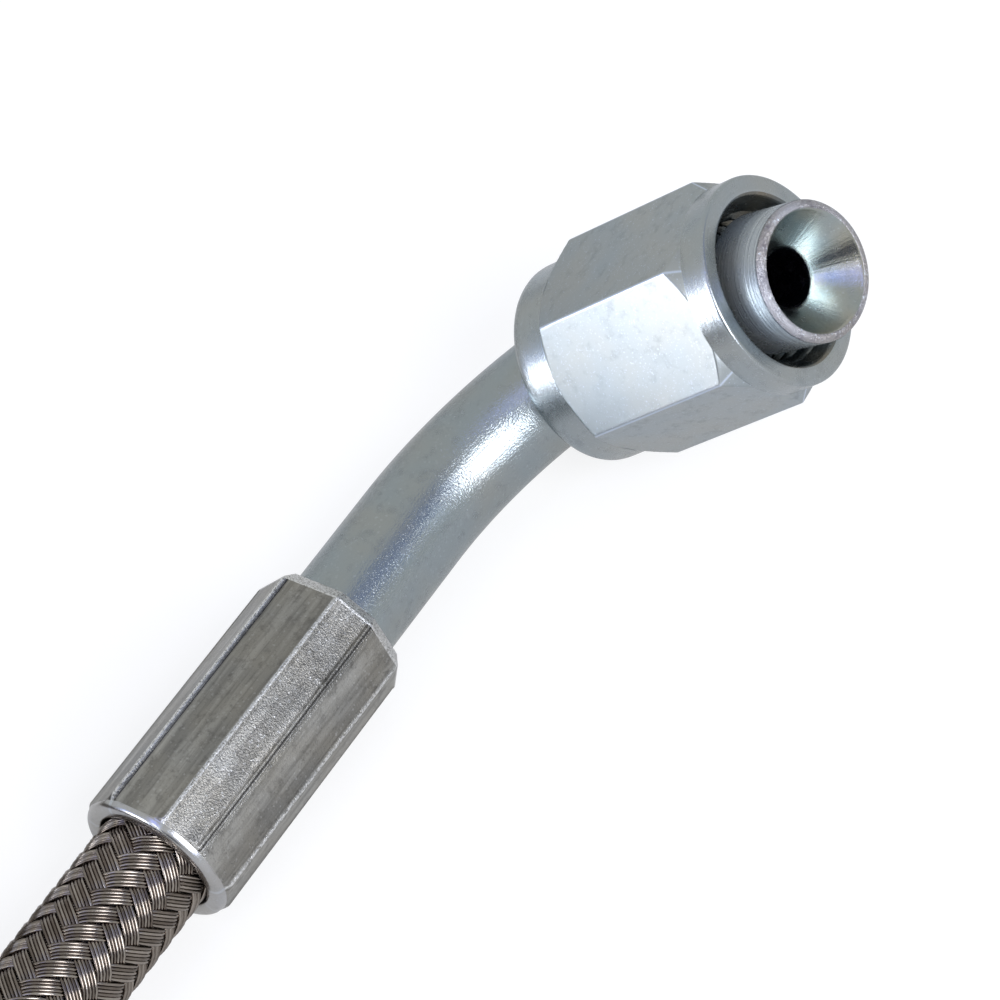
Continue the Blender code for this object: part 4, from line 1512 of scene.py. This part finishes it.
@dataclass
class Viewpoint:
    """The camera, where the photograph was taken from."""

    location: Vector = Vector((-0.0893, -0.1188, 0.1845))
    right: Vector = Vector((0.5334339, -0.8245682, -0.1885091))
    up: Vector = Vector((0.7026721, 0.3079363, 0.6414259))
    sensor: float = 36.0
    lens: float = 126.271
    nearest: float = 0.005

    def build(self) -> bpy.types.Object:
        """Builds the camera and makes it the scene's own."""
        data = bpy.data.cameras.new("viewpoint")
        data.sensor_width = self.sensor
        data.lens = self.lens
        data.clip_start = self.nearest
        camera = add_object("viewpoint", data)
        camera.matrix_world = axis_frame(self.location, self.right.cross(self.up), self.right)
        bpy.context.scene.camera = camera
        return camera


@dataclass(frozen=True)
class SoftBox:
    """An area light aimed at the nut, told by the direction that it shines from."""

    name: str
    azimuth: float
    elevation: float
    distance: float
    width: float
    height: float
    radiance: float
    colour: Colour = (1.0, 1.0, 1.0)

    def build(self, target: Vector) -> bpy.types.Object:
        """Builds the light.

        Args:
            target: The point that it faces.

        Returns:
            The light, which the camera itself doesn't see.
        """
        out = sky_direction(self.azimuth, self.elevation)
        data = bpy.data.lights.new(self.name, "AREA")
        data.shape = "RECTANGLE"
        data.size = self.width
        data.size_y = self.height
        data.color = self.colour
        data.energy = self.radiance * math.pi * self.width * self.height
        light = add_object(self.name, data)
        light.matrix_world = axis_frame(target + out * self.distance, out, UP.cross(out))
        light.visible_camera = False
        return light


@dataclass(frozen=True)
class SkyPatch:
    """A soft round patch of the surroundings, told by its direction."""

    azimuth: float
    elevation: float
    reach: float
    colour: Colour
    core_share: float = 0.6


@dataclass
class Studio:
    """Pale floor, plain surroundings and soft lights."""

    floor_size: float = 6.0
    floor_drop: float = 0.02 * MM
    surround: Colour = (0.64, 0.66, 0.67)
    floor_albedo: float = 0.30
    floor_glow: float = 0.74
    mirror_share: float = 0.5
    target: Vector = Vector((0.02, 0.0, 0.01))
    boxes: tuple[SoftBox, ...] = (
        SoftBox("left_box", 151.0, 12.0, 0.75, 0.30, 0.46, 7.2),
        SoftBox("left_fringe", 149.0, 18.0, 0.80, 0.62, 0.66, 0.9, (0.25, 0.42, 1.0)),
        SoftBox("camera_box", -106.0, 36.0, 0.80, 0.36, 0.44, 9.0),
        SoftBox("camera_fringe", -106.0, 36.0, 0.85, 0.58, 0.64, 0.9, (0.25, 0.42, 1.0)),
        SoftBox("tube_strip", 178.0, 38.0, 0.80, 0.06, 0.40, 3.0),
        SoftBox("tube_fringe", 180.0, 62.0, 0.80, 0.16, 0.46, 1.5, (0.22, 0.30, 1.0)),
    )
    patches: tuple[SkyPatch, ...] = (
        SkyPatch(-50.0, 44.0, 24.0, (0.24, 0.30, 0.50)),
        SkyPatch(-164.0, 23.0, 16.0, (0.04, 0.05, 0.09)),
    )

    def build(self) -> None:
        """Builds floor, world and lights, and sets the plain colour transform."""
        scene = bpy.context.scene
        scene.view_settings.view_transform = "Standard"
        self._floor()
        self._world(scene)
        for box in self.boxes:
            box.build(self.target)

    def _floor(self) -> None:
        """Builds the floor, white to the camera and in reflections, with the line's soft shadow on it."""
        shape = bmesh.new()
        bmesh.ops.create_grid(shape, x_segments=4, y_segments=4, size=self.floor_size / 2)
        mesh = bpy.data.meshes.new("pale_floor")
        shape.to_mesh(mesh)
        shape.free()
        floor = add_object("pale_floor", mesh)
        floor.location.z = -self.floor_drop
        material, graph, shader = new_material("pale_floor")
        path = graph.add("LightPath").outputs
        mirrored = graph.math("ADD", path["Is Glossy Ray"], path["Is Transmission Ray"])
        mirrored = graph.math("MULTIPLY", mirrored, self.mirror_share)
        seen = graph.math("MINIMUM", graph.math("ADD", path["Is Camera Ray"], mirrored), 1.0)
        shader.inputs["Base Color"].default_value = (*[self.floor_albedo] * 3, 1)
        shader.inputs["Roughness"].default_value = 1.0
        shader.inputs["Specular IOR Level"].default_value = 0.0
        shader.inputs["Emission Color"].default_value = (1, 1, 1, 1)
        graph.feed(shader, "Emission Strength", graph.math("MULTIPLY", seen, self.floor_glow))
        mesh.materials.append(material)

    def _world(self, scene: bpy.types.Scene) -> None:
        """Builds the plain grey surroundings, white where the camera sees them past the floor."""
        world = bpy.data.worlds.new("surroundings")
        world.use_nodes = True
        graph = Graph(world.node_tree)
        background = world.node_tree.nodes["Background"]
        direction = graph.add("TexCoord").outputs["Generated"]
        colour: object = self.surround
        for patch in self.patches:
            middle = sky_direction(patch.azimuth, patch.elevation)
            facing = graph.add("VectorMath", {0: direction, 1: middle}, operation="DOT_PRODUCT")
            edge = math.cos(math.radians(patch.reach))
            core = math.cos(math.radians(patch.reach * patch.core_share))
            colour = graph.mix(graph.spread(facing.outputs["Value"], edge, core), colour, patch.colour)
        camera_ray = graph.add("LightPath").outputs["Is Camera Ray"]
        colour = graph.mix(camera_ray, colour, (1.0, 1.0, 1.0))
        graph.feed(background, "Color", colour)
        scene.world = world


def dress_inner_pieces(finishes: Finishes) -> None:
    """Gives the CAD nodes that stay their own materials.

    Args:
        finishes: The line's materials.
    """
    covers = {"nipple": finishes.tube, "liner_end": finishes.liner, "braid_end": finishes.band}
    for name, node in frame["nodes"].items():
        for ending, material in covers.items():
            if name.endswith(ending):
                node.data.materials.clear()
                node.data.materials.append(material)


def main() -> None:
    """Builds the camera, the hose and its fittings, and the studio round them."""
    logging.basicConfig(level=logging.INFO, format="%(name)s: %(message)s")
    Viewpoint().build()
    finishes = Finishes()
    route = HoseRoute()
    hose = Hose(finishes, route)
    core, *braids = hose.build()
    LOG.info("hose length %.4f", route.length)
    ties = [Tie("coil_tie_front", math.radians(215), route, finishes.strap).build(),
            Tie("coil_tie_back", math.radians(120), route, finishes.strap).build()]

    bent_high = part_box("elbow_ferrule")[1]
    far_low, far_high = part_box("straight_ferrule")
    in_ferrule = 3.2 * MM
    bent_foot = Vector((bent_high.x - in_ferrule, 0, route.AXIS_HEIGHT))
    far_middle = (far_low + far_high) / 2
    far_foot = Vector((far_high.x - in_ferrule, far_middle.y, far_middle.z))
    Ferrule("elbow_crimped_ferrule", "elbow_ferrule", finishes).build()
    Stem("elbow_bent_tube", "elbow_stem", bent_foot, finishes, straight=in_ferrule + 9.5 * MM,
         bend_radius=19.45 * MM, bend_angle=math.radians(90), lift=math.radians(34.3),
         nose_straight=8.65 * MM).build()
    SwivelNut("elbow_swivel_nut", "elbow_nut", Body.BENT_NUT, "elbow_nut_turn", "elbow_nut_flat",
              finishes).build()
    far_pieces = [
        Ferrule("straight_crimped_ferrule", "straight_ferrule", finishes).build(),
        Stem("straight_tube", "straight_stem", far_foot, finishes, straight=12.3 * MM,
             nose_straight=17.9 * MM).build(),
        SwivelNut("straight_swivel_nut", "straight_nut", Body.STRAIGHT_NUT, "straight_nut_turn",
                  "straight_nut_flat", finishes).build(),
    ]
    dress_inner_pieces(finishes)
    Studio().build()


if __name__ == "__main__":
    main()
